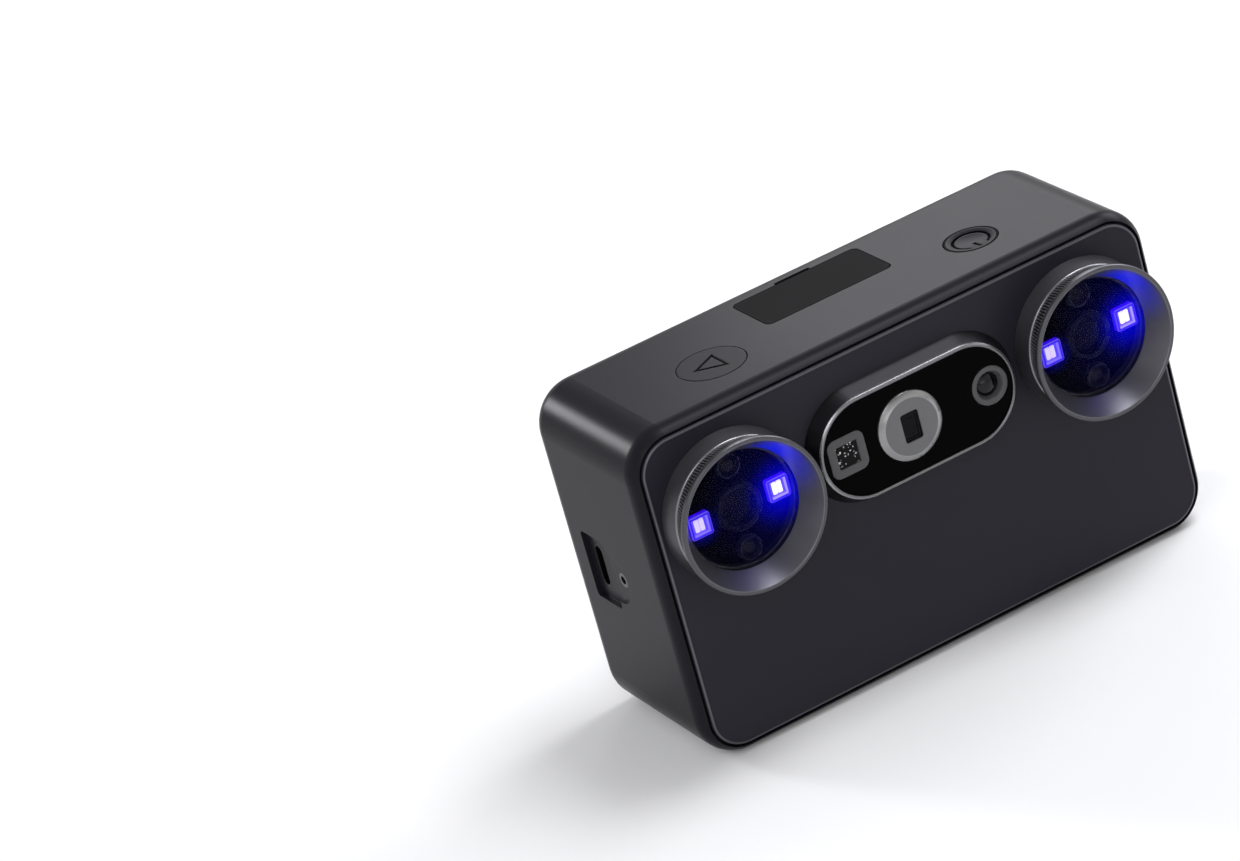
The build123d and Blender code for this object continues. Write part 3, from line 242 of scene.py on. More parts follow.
def turned(profile, x, z, steps=128):
    """A profile of (radius, reach) turned round an axis along -Y at (x, z):
    X = x + r cos a, Z = z + r sin a, for a from 0 to a full turn."""
    profile = np.asarray(profile, float)
    angle = full_turn(steps)[None, :]
    radius = profile[:, :1]
    return on_front(x + radius * np.cos(angle), z + radius * np.sin(angle), profile[:, 1:])


def carried(profile, outline_at, place):
    """A profile of (inset, reach) carried round an outline: row i is outline_at(inset i) at reach i."""
    rows = [place(*outline_at(inset).T, reach) for inset, reach in profile]
    return np.stack(rows)


def grid_faces(rows, columns, wrap_rows):
    """Quads of a grid whose columns close on themselves, and whose rows do too where wrap_rows is true."""
    i = np.arange(rows if wrap_rows else rows - 1)[:, None]
    j = np.arange(columns)[None, :]
    low = i * columns
    high = ((i + 1) % rows) * columns
    after = (j + 1) % columns
    return np.stack([low + j, low + after, high + after, high + j], -1).reshape(-1, 4)


def shell(points, wrap_rows=False):
    """One closed shell from a grid of points, faces outward: its quads, and its two end rows as flat caps
    unless the rows wrap. The sign of six times the enclosed volume, the sum of a . (b x c) over its
    triangles, tells which way the faces look."""
    rows, columns = points.shape[:2]
    faces = grid_faces(rows, columns, wrap_rows).tolist()
    if not wrap_rows:
        faces.append(list(range(columns))[::-1])
        faces.append(list(range((rows - 1) * columns, rows * columns)))
    flat = points.reshape(-1, 3)
    volume = 0.0
    for offset in (1, 2):
        a, b, c = (flat[[face[k] for face in faces]] for k in (0, offset, offset + 1))
        volume += np.einsum("ij,ij->i", a, np.cross(b, c)).sum()
    if not wrap_rows:
        volume += sum(cap_volume(flat[faces[k]]) for k in (-2, -1))
    if volume < 0:
        faces = [face[::-1] for face in faces]
    return flat, faces


def cap_volume(ring):
    """What a flat cap adds to six times the enclosed volume, past its first two triangles."""
    a, b, c = ring[0], ring[3:-1], ring[4:]
    return (np.cross(b, c) @ a).sum()


def piece(name, shells, finish, replaces=(), sharp=SHARP):
    """Joins shells into one object in metres that rides on the body, its edges crisp above an angle."""
    points = []
    faces = []
    count = 0
    for flat, shell_faces in shells:
        points.append(flat)
        faces += [[index + count for index in face] for face in shell_faces]
        count += len(flat)
    mesh = bpy.data.meshes.new(name)
    mesh.from_pydata((np.concatenate(points) * MM).tolist(), [], faces)
    mesh.polygons.foreach_set("use_smooth", np.ones(len(mesh.polygons), bool))
    mesh.set_sharp_from_angle(angle=math.radians(sharp))
    mesh.materials.append(finish)
    obj = bpy.data.objects.new(name, mesh)
    bpy.context.scene.collection.objects.link(obj)
    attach(obj, BODY)
    if replaces:
        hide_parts(*replaces)


# Materials

class Value:
    """A number socket that does arithmetic: each operator adds one Math node."""

    def __init__(self, finish, socket):
        self.finish = finish
        self.socket = socket

    def math(self, operation, *others, swap=False):
        inputs = (self, *others)
        if swap:
            inputs = inputs[::-1]
        return self.finish.node("ShaderNodeMath", {"operation": operation}, dict(enumerate(inputs)))

    def __add__(self, other):
        return self.math("ADD", other)

    __radd__ = __add__

    def __sub__(self, other):
        return self.math("SUBTRACT", other)

    def __rsub__(self, other):
        return self.math("SUBTRACT", other, swap=True)

    def __mul__(self, other):
        return self.math("MULTIPLY", other)

    __rmul__ = __mul__

    def __truediv__(self, other):
        return self.math("DIVIDE", other)

    def __pow__(self, other):
        return self.math("POWER", other)

    def __abs__(self):
        return self.math("ABSOLUTE")

    def __lt__(self, other):
        return self.math("LESS_THAN", other)

    def __gt__(self, other):
        return self.math("GREATER_THAN", other)


class Finish:
    """One procedural material, drawn on Object coordinates in millimetres."""

    def __init__(self, name):
        self.material = bpy.data.materials.new(name)
        self.material.use_nodes = True
        self.tree = self.material.node_tree
        self.tree.nodes.clear()
        place = self.node("ShaderNodeTexCoord", {}, {}, "Object")
        self.millimetres = self.node("ShaderNodeVectorMath", {"operation": "SCALE"},
                                     {"Vector": place, "Scale": 1 / MM})
        split = self.tree.nodes.new("ShaderNodeSeparateXYZ")
        self.tree.links.new(self.millimetres.socket, split.inputs[0])
        self.x, self.y, self.z = (Value(self, split.outputs[k]) for k in range(3))

    @property
    def reach(self):
        """Distance in front of the front plate, in millimetres."""
        return FRONT_Y - self.y

    def node(self, kind, settings, inputs, output=0):
        """Adds a node of any kind: its settings first, then the values or links of its sockets."""
        made = self.tree.nodes.new(kind)
        for name, value in settings.items():
            setattr(made, name, value)
        for key, value in inputs.items():
            if isinstance(value, Value):
                self.tree.links.new(value.socket, made.inputs[key])
            else:
                made.inputs[key].default_value = value
        return Value(self, made.outputs[output])

    def noise(self, size, detail=3.0, rough=0.5):
        """Soft noise from 0 to 1 whose lumps are about size millimetres across."""
        return self.node("ShaderNodeTexNoise", {}, {"Vector": self.millimetres, "Scale": 1 / size,
                                                    "Detail": detail, "Roughness": rough})

    def grain(self, size=GRAIN_SIZE):
        """Fine noise of a moulded face."""
        return self.noise(size, rough=0.6)

    def rings(self, place):
        """Noise from 0 to 1 along one line, for the fine rings of a turned face."""
        return self.node("ShaderNodeTexNoise", {"noise_dimensions": "1D"}, {"W": place, "Detail": 2.0})

    def cell_edges(self, scale):
        """Distance from the edges of a pattern of cells, scale of them to a millimetre."""
        return self.node("ShaderNodeTexVoronoi", {"feature": "DISTANCE_TO_EDGE"},
                         {"Vector": self.millimetres, "Scale": scale})

    def ramp(self, value, low, high):
        """Smooth step of value, from 0 at low to 1 at high."""
        return self.node("ShaderNodeMapRange", {"interpolation_type": "SMOOTHSTEP"},
                         {"Value": value, "From Min": low, "From Max": high})

    def band(self, value, start, full, fall, end):
        """1 where value lies between full and fall, easing to 0 at start and end."""
        return self.ramp(value, start, full) - self.ramp(value, fall, end)

    def mix(self, mask, first, second):
        """Colour first where mask is 0, second where it is 1."""
        inputs = {0: mask, 6: first, 7: second}
        return self.node("ShaderNodeMix", {"data_type": "RGBA"}, inputs, 2)

    def tones(self, mask, colour, low, high):
        """One colour, times low where mask is 0 and times high where it is 1."""
        return self.mix(mask, rgb(*(low * c for c in colour)), rgb(*(high * c for c in colour)))

    def distance(self, x, reach, z):
        """Distance in millimetres from a point in front of the front plate."""
        return self.node("ShaderNodeVectorMath", {"operation": "DISTANCE"},
                         {0: self.millimetres, 1: (x, FRONT_Y - reach, z)}, "Value")

    def bump(self, height, depth, strength, under=None):
        """Relief of a height from 0 to 1, depth millimetres deep."""
        inputs = {"Height": height, "Distance": depth * MM, "Strength": strength}
        if under is not None:
            inputs["Normal"] = under
        return self.node("ShaderNodeBump", {}, inputs)

    def eased_edges(self, radius):
        """Normal that rounds sharp edges by radius millimetres."""
        return self.node("ShaderNodeBevel", {"samples": 6}, {"Radius": radius * MM})

    def grain_relief(self, grain, edge=EASED_EDGE):
        """Normal of a moulded grain on eased edges."""
        return self.bump(grain, GRAIN_DEPTH, GRAIN_STRENGTH, self.eased_edges(edge))

    def output(self, surface):
        """Feeds a shader to the output, and gives the material."""
        end = self.tree.nodes.new("ShaderNodeOutputMaterial")
        self.tree.links.new(surface.socket, end.inputs["Surface"])
        return self.material

    def done(self, **sockets):
        """Feeds the surface shader, whose sockets are named in lower case with underscores."""
        names = {key: key.replace("_", " ").title().replace("Ior", "IOR") for key in sockets}
        inputs = {names[key]: value for key, value in sockets.items()}
        return self.output(self.node("ShaderNodeBsdfPrincipled", {}, inputs))


def rgb(red, green, blue):
    """A colour with its alpha."""
    return (red, green, blue, 1.0)


def grey(level):
    """A neutral colour with its alpha."""
    return rgb(level, level, level)


def hypotenuse(across, up):
    """Distance from an axis: the root of the sum of two squares."""
    return (across ** 2.0 + up ** 2.0) ** 0.5


def varied(level, pattern, swing=GRAIN_SWING):
    """A level that a pattern from 0 to 1 moves by half the swing each way."""
    return level + (pattern - 0.5) * swing


def satin_plastic(name, colour, roughness, grain=GRAIN_SIZE, edge=EASED_EDGE, gloss=SATIN_GLOSS):
    """Fine moulded satin: slow tone drift, a fine grain in the gloss and relief, eased edges."""
    f = Finish(name)
    drift = f.noise(DRIFT_SIZE, detail=2.0)
    fine = f.grain(grain)
    tone = f.tones(drift * DRIFT_SHARE + fine * (1 - DRIFT_SHARE), colour, 0.86, 1.12)
    rough = varied(varied(roughness, fine), drift, 0.05)
    return f.done(base_color=tone, roughness=rough, normal=f.grain_relief(fine, edge),
                  specular_ior_level=gloss)


def edged_plate(name, colour, polished):
    """Satin plate whose rounded edge carries a painted highlight, a lighter near metallic band: the mask
    follows the inset from the plate's outline, r - |q|, with q the part of (|x|, |z - middle|) past the
    corner centres, and r the corner's radius."""
    f = Finish(name)
    past_x = (abs(f.x) - (PLATE_HALF_WIDTH - PLATE_ROUND)).math("MAXIMUM", 0.0)
    past_z = (abs(f.z - TOP_Z / 2) - (PLATE_HALF_HEIGHT - PLATE_ROUND)).math("MAXIMUM", 0.0)
    inset = PLATE_ROUND - hypotenuse(past_x, past_z)
    edge = f.band(inset, *PLATE_HIGHLIGHT_BAND)
    shoulder = f.band(inset, *PLATE_SHOULDER)
    drift = f.noise(DRIFT_SIZE, detail=2.0)
    fine = f.grain()
    tone = f.tones(drift * DRIFT_SHARE + fine * (1 - DRIFT_SHARE), colour, 0.88, 1.1)
    # painted highlight: a lighter, near metallic band round the plate's edge
    tone = f.mix(edge, tone, rgb(*polished))
    return f.done(base_color=tone, roughness=varied(0.42, fine) - edge * 0.12,
                  metallic=edge * 0.9 + shoulder * 0.1, normal=f.grain_relief(fine),
                  specular_ior_level=PLATE_GLOSS)


def engraved_button(name, colour, x, dish, dish_half_width):
    """Satin button whose engraved mark is painted near black: the mark is what lies below the button's face,
    which sinks by dish * (1 - (r / w)^2) from its rim, with r the distance from the button's axis and w half
    its width."""
    f = Finish(name)
    fine = f.grain()
    spread = ((f.x - x) ** 2.0 + (f.y - BUTTON_Y) ** 2.0) / dish_half_width ** 2
    face = TOP_Z - dish + spread * dish
    mark = f.z < face - MARK_DEPTH
    # the engraved mark, below the face, painted near black
    tone = f.mix(mark, f.tones(fine, colour, 0.9, 1.1), grey(0.0012))
    return f.done(base_color=tone, roughness=varied(0.35, fine) + mark * 0.3,
                  normal=f.grain_relief(fine, edge=0.35), specular_ior_level=SHELL_GLOSS)


def spun_metal(name, colour, roughness, metallic, axis_x, polish):
    """Turned metal: fine rings round its axis in the gloss and relief. polish(finish, radius) gives the mask
    of its lighter edge and that edge's colour; on the barrel base and the window frame that edge is a painted
    highlight line."""
    f = Finish(name)
    radius = hypotenuse(f.x - axis_x, f.z - LENS_Z)
    rings = f.rings((radius + f.y * 0.8) * 9.0)
    fine = f.noise(0.3, detail=2.0)
    edge, bright = polish(f, radius)
    # the lighter edge colour: a painted highlight line on the barrel base and the window frame
    tone = f.mix(edge, f.tones(rings, colour, 0.88, 1.12), rgb(*bright))
    normal = f.bump(rings * 0.6 + fine * 0.4, depth=0.004, strength=0.3)
    return f.done(base_color=tone, metallic=metallic, roughness=varied(roughness, rings, 0.12) - edge * 0.1,
                  normal=normal)


def base_edge_highlight(f, radius):
    """Front corner of a barrel's base, polished and painted lighter as a highlight line."""
    front = f.ramp(f.reach, BASE_REACH - 0.4, BASE_REACH - 0.25)
    return front * f.ramp(radius, BASE_RADIUS - 0.5, BASE_RADIUS - 0.3), (0.226, 0.226, 0.24)


def window_lip_highlight(f, radius):
    """Rounded lip of the window's frame, polished and painted lighter as a highlight line, less so on its
    flat top.
    """
    lip = f.ramp(f.reach, WINDOW_REACH - 0.36, WINDOW_REACH - 0.26)
    return lip - 0.55 * f.ramp(f.reach, WINDOW_REACH - 0.06, WINDOW_REACH), (0.32, 0.32, 0.333)


def laser_edge(f, radius):
    """Bright bevel of the laser disc."""
    return f.ramp(radius, LASER_FACE - 0.02, LASER_FACE + 0.06), (0.28, 0.28, 0.28)


def ribbed_metal(name, x):
    """Ribbed band: the angle round the barrel's axis, times the rib count, gives the grooves between ribs,
    painted near black as shade.
    """
    f = Finish(name)
    turn = (f.z - LENS_Z).math("ARCTAN2", f.x - x)
    phase = (turn * (RIB_COUNT / FULL_TURN) + 0.125).math("FRACT")
    groove_shade = f.ramp(abs(phase - 0.5), 0.18, 0.24)
    fine = f.noise(0.3, detail=2.0)
    tone = f.mix(fine, rgb(0.345, 0.345, 0.37), rgb(0.425, 0.425, 0.45))
    # painted shade: the grooves between the ribs near black
    tone = f.mix(groove_shade, tone, rgb(0.004, 0.004, 0.005))
    return f.done(base_color=tone, metallic=0.9 - groove_shade * 0.6, roughness=varied(0.3 + groove_shade * 0.3, fine))


def plain_metal(name, colour, roughness):
    """Machined metal with fine directional scratches along Y."""
    f = Finish(name)
    streak = f.node("ShaderNodeVectorMath", {"operation": "MULTIPLY"},
                    {0: f.millimetres, 1: (6.0, 0.4, 6.0)})
    scratches = f.node("ShaderNodeTexNoise", {}, {"Vector": streak, "Scale": 1.5, "Detail": 4.0})
    return f.done(base_color=f.tones(scratches, colour, 0.82, 1.0), metallic=1.0,
                  roughness=varied(roughness, scratches, 0.15), normal=f.eased_edges(0.08))


def dark_glass(name, colour):
    """Coated dark glass with a faint unevenness in its polish."""
    f = Finish(name)
    smear = f.noise(9.0, detail=4.0, rough=0.6)
    return f.done(base_color=f.tones(smear, colour, 0.7, 1.3), roughness=0.03 + smear * 0.03,
                  specular_ior_level=0.02)


def lit_glass(name, x):
    """Barrel glass: near black, with a painted blue glow, given as emission, round each lamp behind it, wider
    at the right-hand one.
    """
    f = Finish(name)
    near_right = f.distance(x + EMITTER_OFFSET, GLASS_BACK, LENS_Z)
    near_left = f.distance(x - EMITTER_OFFSET, GLASS_BACK, LENS_Z)
    # painted glow: blue emission round each lamp, standing for its light scattered in the glass
    painted_haze = f.ramp(near_right, 10.0, 1.0) ** 2.0 * 1.1 + f.ramp(near_left, 5.0, 1.0) ** 2.0 * 0.3
    painted_veil = f.ramp(near_right, 18.0, 3.0) * 0.05
    painted_glow = f.mix(painted_haze + painted_veil, grey(0), rgb(0.0, 0.0, 1.0))
    smear = f.noise(5.0)
    tone = f.mix(smear, rgb(0.001, 0.001, 0.006), rgb(0.003, 0.003, 0.012))
    return f.done(base_color=tone, roughness=0.04 + smear * 0.02, alpha=0.3, specular_ior_level=0.04,
                  emission_color=painted_glow, emission_strength=1.0)


def lit_hood(name, x):
    """Black anodised hood: spun rings, a darker lip, and a painted glow of the lamp's blue light on the
    cone's upper right, with a darker colour under it.
    """
    f = Finish(name)
    radius = hypotenuse(f.x - x, f.z - LENS_Z)
    rings = f.rings(radius * 8.0)
    inner = f.ramp(radius, MOUTH_RADIUS + 0.05, MOUTH_RADIUS - 0.6)
    # painted light: the lamps' blue glow on the inner cone, given as emission over a darkened colour
    near_top = f.distance(x + 8.3, 6.0, LENS_Z + 9.3)
    near_side = f.distance(x + 11.6, 4.5, LENS_Z + 5.0)
    painted_glow = inner * (f.ramp(near_top, 7.5, 0.5) ** 1.4 * 0.65 + f.ramp(near_side, 9.0, 0.5) ** 1.4 * 0.3)
    tone = f.mix(rings, rgb(0.14, 0.137, 0.151), rgb(0.168, 0.165, 0.18))
    lip = f.ramp(radius, MOUTH_RADIUS, MOUTH_RADIUS + 0.2)
    tone = f.mix(lip * 0.6, tone, rgb(0.04, 0.04, 0.045))
    tone = f.mix(painted_glow, tone, rgb(0.002, 0.002, 0.01))
    return f.done(base_color=tone, roughness=varied(0.34, rings, 0.08), metallic=0.8,
                  normal=f.bump(rings, depth=0.003, strength=0.3),
                  emission_color=f.mix(painted_glow, grey(0), rgb(0.0, 0.01, 0.85)), emission_strength=1.0)


def lamp_package(name, x):
    """Blue lamp package with a painted glow, given as emission as if lit from its well: violet towards the
    well's lip, more so on the right-hand lamp, and painted highlights on that lip and on its rim.
    """
    f = Finish(name)
    local = f.x - x
    right = local > 0.0
    across = abs(local - (right * 2.0 - 1.0) * EMITTER_OFFSET)
    inset = EMITTER_SIZE / 2 - across.math("MAXIMUM", abs(f.z - LENS_Z))
    deep = f.ramp(f.reach, LAMP_TOP - 0.05, WELL_FLOOR) * f.ramp(inset, 0.5, 0.6)
    lip = f.band(inset, *LAMP_LIP_HIGHLIGHT)
    rim = f.ramp(inset, 0.2, 0.05) * f.ramp(f.reach, LAMP_TOP - 0.35, LAMP_TOP - 0.1)
    tone = f.mix(deep, rgb(0.03, 0.0, 0.75), rgb(0.1, 0.05, 0.95))
    # painted highlights: lighter violet on the well's lip and the package's rim
    tone = f.mix(lip * (0.4 + right * 0.4) + rim * 0.3, tone, rgb(0.5, 0.4, 1.0))
    return f.done(base_color=rgb(0.05, 0.05, 0.4), roughness=0.3, emission_color=tone, emission_strength=1.8)


def lamp_die(name, x):
    """Lit die: white hot in the right-hand lamp, lilac in the left-hand one, a little darker at its ends."""
    f = Finish(name)
    right = (f.x - x) > 0.0
    hot = f.mix(right, rgb(0.55, 0.48, 1.0), rgb(1.0, 0.92, 1.0))
    ends = f.ramp(abs(f.z - LENS_Z), 0.8, 1.3)
    tone = f.mix(ends * 0.6, hot, rgb(0.4, 0.3, 1.0))
    return f.done(base_color=rgb(0.1, 0.1, 0.4), roughness=0.3, emission_color=tone, emission_strength=2.6)


def optic(name, x, offset, rim_radius, gloss, rim):
    """Coated lens: near black, with a tinted rim past rim_radius. It serves a lens on the axis, or with an
    offset the two lenses that far above and below it, since the height is taken as |z - axis| - offset."""
    f = Finish(name)
    radius = hypotenuse(f.x - x, abs(f.z - LENS_Z) - offset)
    ring = f.ramp(radius, rim_radius - 0.1, rim_radius + 0.1)
    speck = f.noise(1.2)
    tone = f.mix(speck, rgb(0.0008, 0.0008, 0.002), rgb(0.002, 0.002, 0.004))
    tone = f.mix(ring, tone, rgb(*rim))
    return f.done(base_color=tone, roughness=0.06 + speck * 0.03 + ring * 0.2, specular_ior_level=gloss)


def display_face(name):
    """Display glass: black border, and an unlit active area a little lighter, with its fine pixel rows."""
    f = Finish(name)
    across = abs(f.x - SCREEN_X)
    up = abs(f.z - SCREEN_Z)
    active = (f.ramp(across, SCREEN_HALF_WIDTH + SCREEN_BLUR, SCREEN_HALF_WIDTH - SCREEN_BLUR)
              * f.ramp(up, SCREEN_HALF_HEIGHT + SCREEN_BLUR, SCREEN_HALF_HEIGHT - SCREEN_BLUR))
    rows = f.node("ShaderNodeTexWave", {"bands_direction": "Z"}, {"Vector": f.millimetres, "Scale": 1.6})
    smear = f.noise(30.0, detail=4.0, rough=0.6)
    tone = f.mix(active, rgb(0.0012, 0.0012, 0.0014), rgb(0.0166, 0.0166, 0.0193))
    tone = f.mix(active * rows * 0.15, tone, rgb(0.012, 0.012, 0.0146))
    return f.done(base_color=tone, roughness=0.1 + active * 0.1 + smear * 0.03, specular_ior_level=0.08,
                  normal=f.eased_edges(0.15))


def board_finish(name):
    """Dark green circuit board with lighter traces along the edges of cells."""
    f = Finish(name)
    trace = f.ramp(f.cell_edges(0.35), 0.06, 0.02)
    tone = f.mix(trace, rgb(0.008, 0.05, 0.02), rgb(0.02, 0.1, 0.04))
    return f.done(base_color=tone, roughness=0.45 + trace * 0.1)


def black_board(name):
    """Black sensor board with faint traces."""
    f = Finish(name)
    cells = f.cell_edges(0.5)
    tone = f.mix(f.ramp(cells, 0.05, 0.02), rgb(0.0004, 0.0004, 0.001), rgb(0.0009, 0.0009, 0.002))
    return f.done(base_color=tone, roughness=0.6 - cells * 0.1, specular_ior_level=0.02)


def speckled(name):
    """Diffractive window: dark, with painted glints in small cells, lighter and near metallic."""
    f = Finish(name)
    cells = f.node("ShaderNodeTexVoronoi", {}, {"Vector": f.millimetres, "Scale": 3.2}, "Color")
    painted_glint = f.ramp(f.node("ShaderNodeSeparateColor", {}, {0: cells}), 0.86, 1.0)
    # painted glints: lighter near metallic cells
    tone = f.mix(painted_glint, grey(0.002), grey(0.66))
    return f.done(base_color=tone, roughness=0.12 + painted_glint * 0.2, metallic=painted_glint * 0.8,
                  specular_ior_level=0.1)


def perforated(name, colour):
    """Satin plate whose holes are painted near black as shade: the mask is the depth above the base plane."""
    f = Finish(name)
    fine = f.grain()
    hole_shade = f.ramp(f.z, 0.03, 0.3)
    # painted shade: the holes near black
    tone = f.mix(hole_shade, f.tones(fine, colour, 0.9, 1.1), rgb(0.0015, 0.0015, 0.0018))
    return f.done(base_color=tone, roughness=varied(0.42, fine) + hole_shade * 0.3, specular_ior_level=0.13)


def printed(name, colour):
    """Thin pad print with slightly uneven ink."""
    f = Finish(name)
    ink = f.noise(0.2)
    return f.done(base_color=f.tones(ink, colour, 0.85, 1.0), roughness=0.5 + ink * 0.1)


shell_grey = satin_plastic("shell_grey", SHELL_TONE, roughness=0.3, gloss=SHELL_GLOSS)
plate_grey = edged_plate("plate_grey", (0.0155, 0.0141, 0.0208), polished=(0.105, 0.103, 0.117))
bezel_grey = edged_plate("bezel_grey", (0.0155, 0.0152, 0.0166), polished=(0.105, 0.104, 0.109))
panel_grey = satin_plastic("panel_grey", SHELL_TONE, roughness=0.36, edge=0.06, gloss=SHELL_GLOSS)
mesh_grey = perforated("mesh_grey", SHELL_TONE)
trim_black = satin_plastic("trim_black", (0.008, 0.008, 0.0093), roughness=0.42, edge=0.1)
cover_black = satin_plastic("cover_black", (0.0045, 0.0045, 0.005), roughness=0.6, grain=0.2, edge=0.1,
                            gloss=0.04)
scan_finish = engraved_button("scan_finish", SHELL_TONE, -BUTTON_X, 0.0, SCAN_RADIUS)
power_finish = engraved_button("power_finish", SHELL_TONE, BUTTON_X, POWER_DISH, DISH_HALF_WIDTH)
module_grey = satin_plastic("module_grey", (0.066, 0.066, 0.069), roughness=0.34)
laser_grey = spun_metal("laser_grey", (0.14, 0.14, 0.144), roughness=0.34, metallic=0.8, axis_x=LASER_X,
                        polish=laser_edge)
window_metal = spun_metal("window_metal", (0.019, 0.0185, 0.0213), roughness=0.36, metallic=0.9, axis_x=0.0,
                          polish=window_lip_highlight)
pane_black = dark_glass("pane_black", (0.0008, 0.0008, 0.001))
screen_black = display_face("screen_black")
bright_steel = plain_metal("bright_steel", (0.82, 0.82, 0.81), roughness=0.25)
dark_steel = plain_metal("dark_steel", (0.093, 0.093, 0.096), roughness=0.35)
port_black = plain_metal("port_black", (0.016, 0.016, 0.0173), roughness=0.4)
plated_brass = plain_metal("plated_brass", (0.75, 0.55, 0.22), roughness=0.3)
milled_bench = plain_metal("milled_bench", (0.55, 0.55, 0.57), roughness=0.4)
green_board = board_finish("green_board")
sensor_black = black_board("sensor_black")
battery_black = satin_plastic("battery_black", (0.01, 0.01, 0.012), roughness=0.45)
glint_window = speckled("glint_window")
laser_pane_finish = optic("laser_pane_finish", LASER_X, offset=0.0, rim_radius=4.0, gloss=0.107,
                          rim=(0.013, 0.016, 0.04))
colour_element = optic("colour_element", COLOUR_X, offset=0.0, rim_radius=2.2, gloss=0.29,
                       rim=(0.0133, 0.0133, 0.0146))
print_white = printed("print_white", (0.75, 0.75, 0.75))

cad_finishes = {
    shell_grey: ["main_housing", "battery_door"],
    plate_grey: ["front_cover"],
    bezel_grey: ["rear_bezel"],
    panel_grey: ["base_panel", "base_side_panel", "switch_panel"],
    trim_black: ["battery_bay", "mode_switch", "switch_body", "door_latch", "fan_frame", "fan_rotor",
                 "speaker", "tact_switches"],
    cover_black: ["accessory_cover"],
    scan_finish: ["scan_button"],
    power_finish: ["power_button"],
    pane_black: ["window_glass"],
    screen_black: ["display_glass", "display_module"],
    bright_steel: ["strap_pin", "door_hinge_pin"],
    dark_steel: ["base_screws", "lock_insert"],
    port_black: ["port_receptacle"],
    plated_brass: ["battery_contacts", "accessory_connector"],
    milled_bench: ["optical_bench"],
    green_board: ["main_board", "button_board"],
    sensor_black: ["lens_left_sensor_board", "lens_right_sensor_board"],
    battery_black: ["battery_pack"],
}
for finish, names in cad_finishes.items():
    for name in names:
        nodes[name].data.materials.clear()
        nodes[name].data.materials.append(finish)


# Barrels

def ribbed_band(x):
    """Ribbed band: a closed section (radius, reach) turned round the axis, its outer radius following
    r + RIB_DEPTH * tooth(a), where tooth is a flat-topped wave of RIB_COUNT ribs with four points each.
    The third number of a section's point is the share of the tooth that it takes."""
    points = 4 * RIB_COUNT
    tooth = np.tile([0.0, 1.0, 1.0, 0.0], RIB_COUNT)
    lean = np.tile([-RIB_LEAN, RIB_LEAN, -RIB_LEAN, RIB_LEAN], RIB_COUNT)
    angle = (np.arange(points) + lean) * FULL_TURN / points
    section = np.array([[NECK_RADIUS + BAND_GAP, BASE_REACH + 0.05, 0],
                        [BAND_RADIUS, BASE_REACH + 0.05, 0],
                        [BAND_RADIUS, BASE_REACH + 0.2, 1],
                        [BAND_END_RADIUS, BAND_END - 0.15, 1],
                        [BAND_END_RADIUS, BAND_END - BAND_GAP, 0],
                        [SHOULDER_RADIUS + BAND_GAP, BAND_END - BAND_GAP, 0],
                        [NECK_RADIUS + NECK_FLARE + BAND_GAP, NECK_END, 0]])
    radius = section[:, :1] + section[:, 2:] * RIB_DEPTH * tooth[None, :]
    return on_front(x + radius * np.cos(angle), LENS_Z + radius * np.sin(angle), section[:, 1:2])


def square_block(size, corner, x, z, steps):
    """Block on the front: rounded squares or oblongs of the size, one for each (inset, reach) step."""
    width, height = size

    def outline(inset):
        radius = max(corner - 0.4 * inset, 0.06)
        return rounded_outline(width - 2 * inset, height - 2 * inset, radius, 4) + [x, z]

    return shell(carried(steps, outline, on_front))


# Barrel sections, as (radius, reach)
base_section = [(SPIGOT_BORE, -SPIGOT_DEPTH), (SPIGOT_RADIUS, -SPIGOT_DEPTH), (SPIGOT_RADIUS, 0),
                (FOOT_RADIUS, 0), (FOOT_RADIUS - FOOT_DRAFT, FOOT_REACH), (BASE_RADIUS, BASE_REACH),
                (SEAT_RADIUS, BASE_REACH), (SEAT_RADIUS, GLASS_BACK), (SENSOR_BORE, GLASS_BACK),
                (SENSOR_BORE, BOARD_BACK), (SPIGOT_BORE, BOARD_BACK)]
base_round = [0.16] * 5 + [0.32] + [0.16] * 5
hood_section = [(THROAT_RADIUS, GLASS_REACH), (GLASS_RADIUS, GLASS_REACH), (GLASS_RADIUS, BASE_REACH),
                (NECK_RADIUS, BASE_REACH), (NECK_RADIUS + NECK_FLARE, NECK_END), (SHOULDER_RADIUS, BAND_END),
                (BAND_END_RADIUS + BAND_COLLAR, BAND_END), (LIP_RADIUS, LIP_START), (LIP_RADIUS, LIP_END),
                (LIP_RADIUS - LIP_BEVEL, LENS_REACH), (MOUTH_RADIUS, LENS_REACH),
                (THROAT_RADIUS, GLASS_REACH + THROAT_STEP)]
glass_section = [(AXIS_RADIUS, GLASS_BACK), (GLASS_RADIUS, GLASS_BACK), (GLASS_RADIUS, GLASS_REACH),
                 (AXIS_RADIUS, GLASS_REACH)]
# Camera and bead: up the wall, over the rim, down into the ring round the lens, and up over its dome
camera_section = [(AXIS_RADIUS, BOARD_REACH), (CAMERA_RADIUS, BOARD_REACH), (CAMERA_RADIUS, 2.45), (4.5, 2.7),
                  (4.0, CAMERA_TOP), (3.7, 2.6), (3.45, 1.95), (3.3, 1.9), (2.9, 2.1), (2.0, 2.45),
                  (1.0, 2.65), (AXIS_RADIUS, 2.72)]
bead_section = [(AXIS_RADIUS, BOARD_REACH), (BEAD_RADIUS, BOARD_REACH), (BEAD_RADIUS, 2.3), (2.4, 2.55),
                (2.15, BEAD_TOP), (1.85, 2.0), (1.7, 1.95), (1.4, 2.17), (1.0, 2.4), (0.5, 2.55),
                (AXIS_RADIUS, BEAD_TOP)]

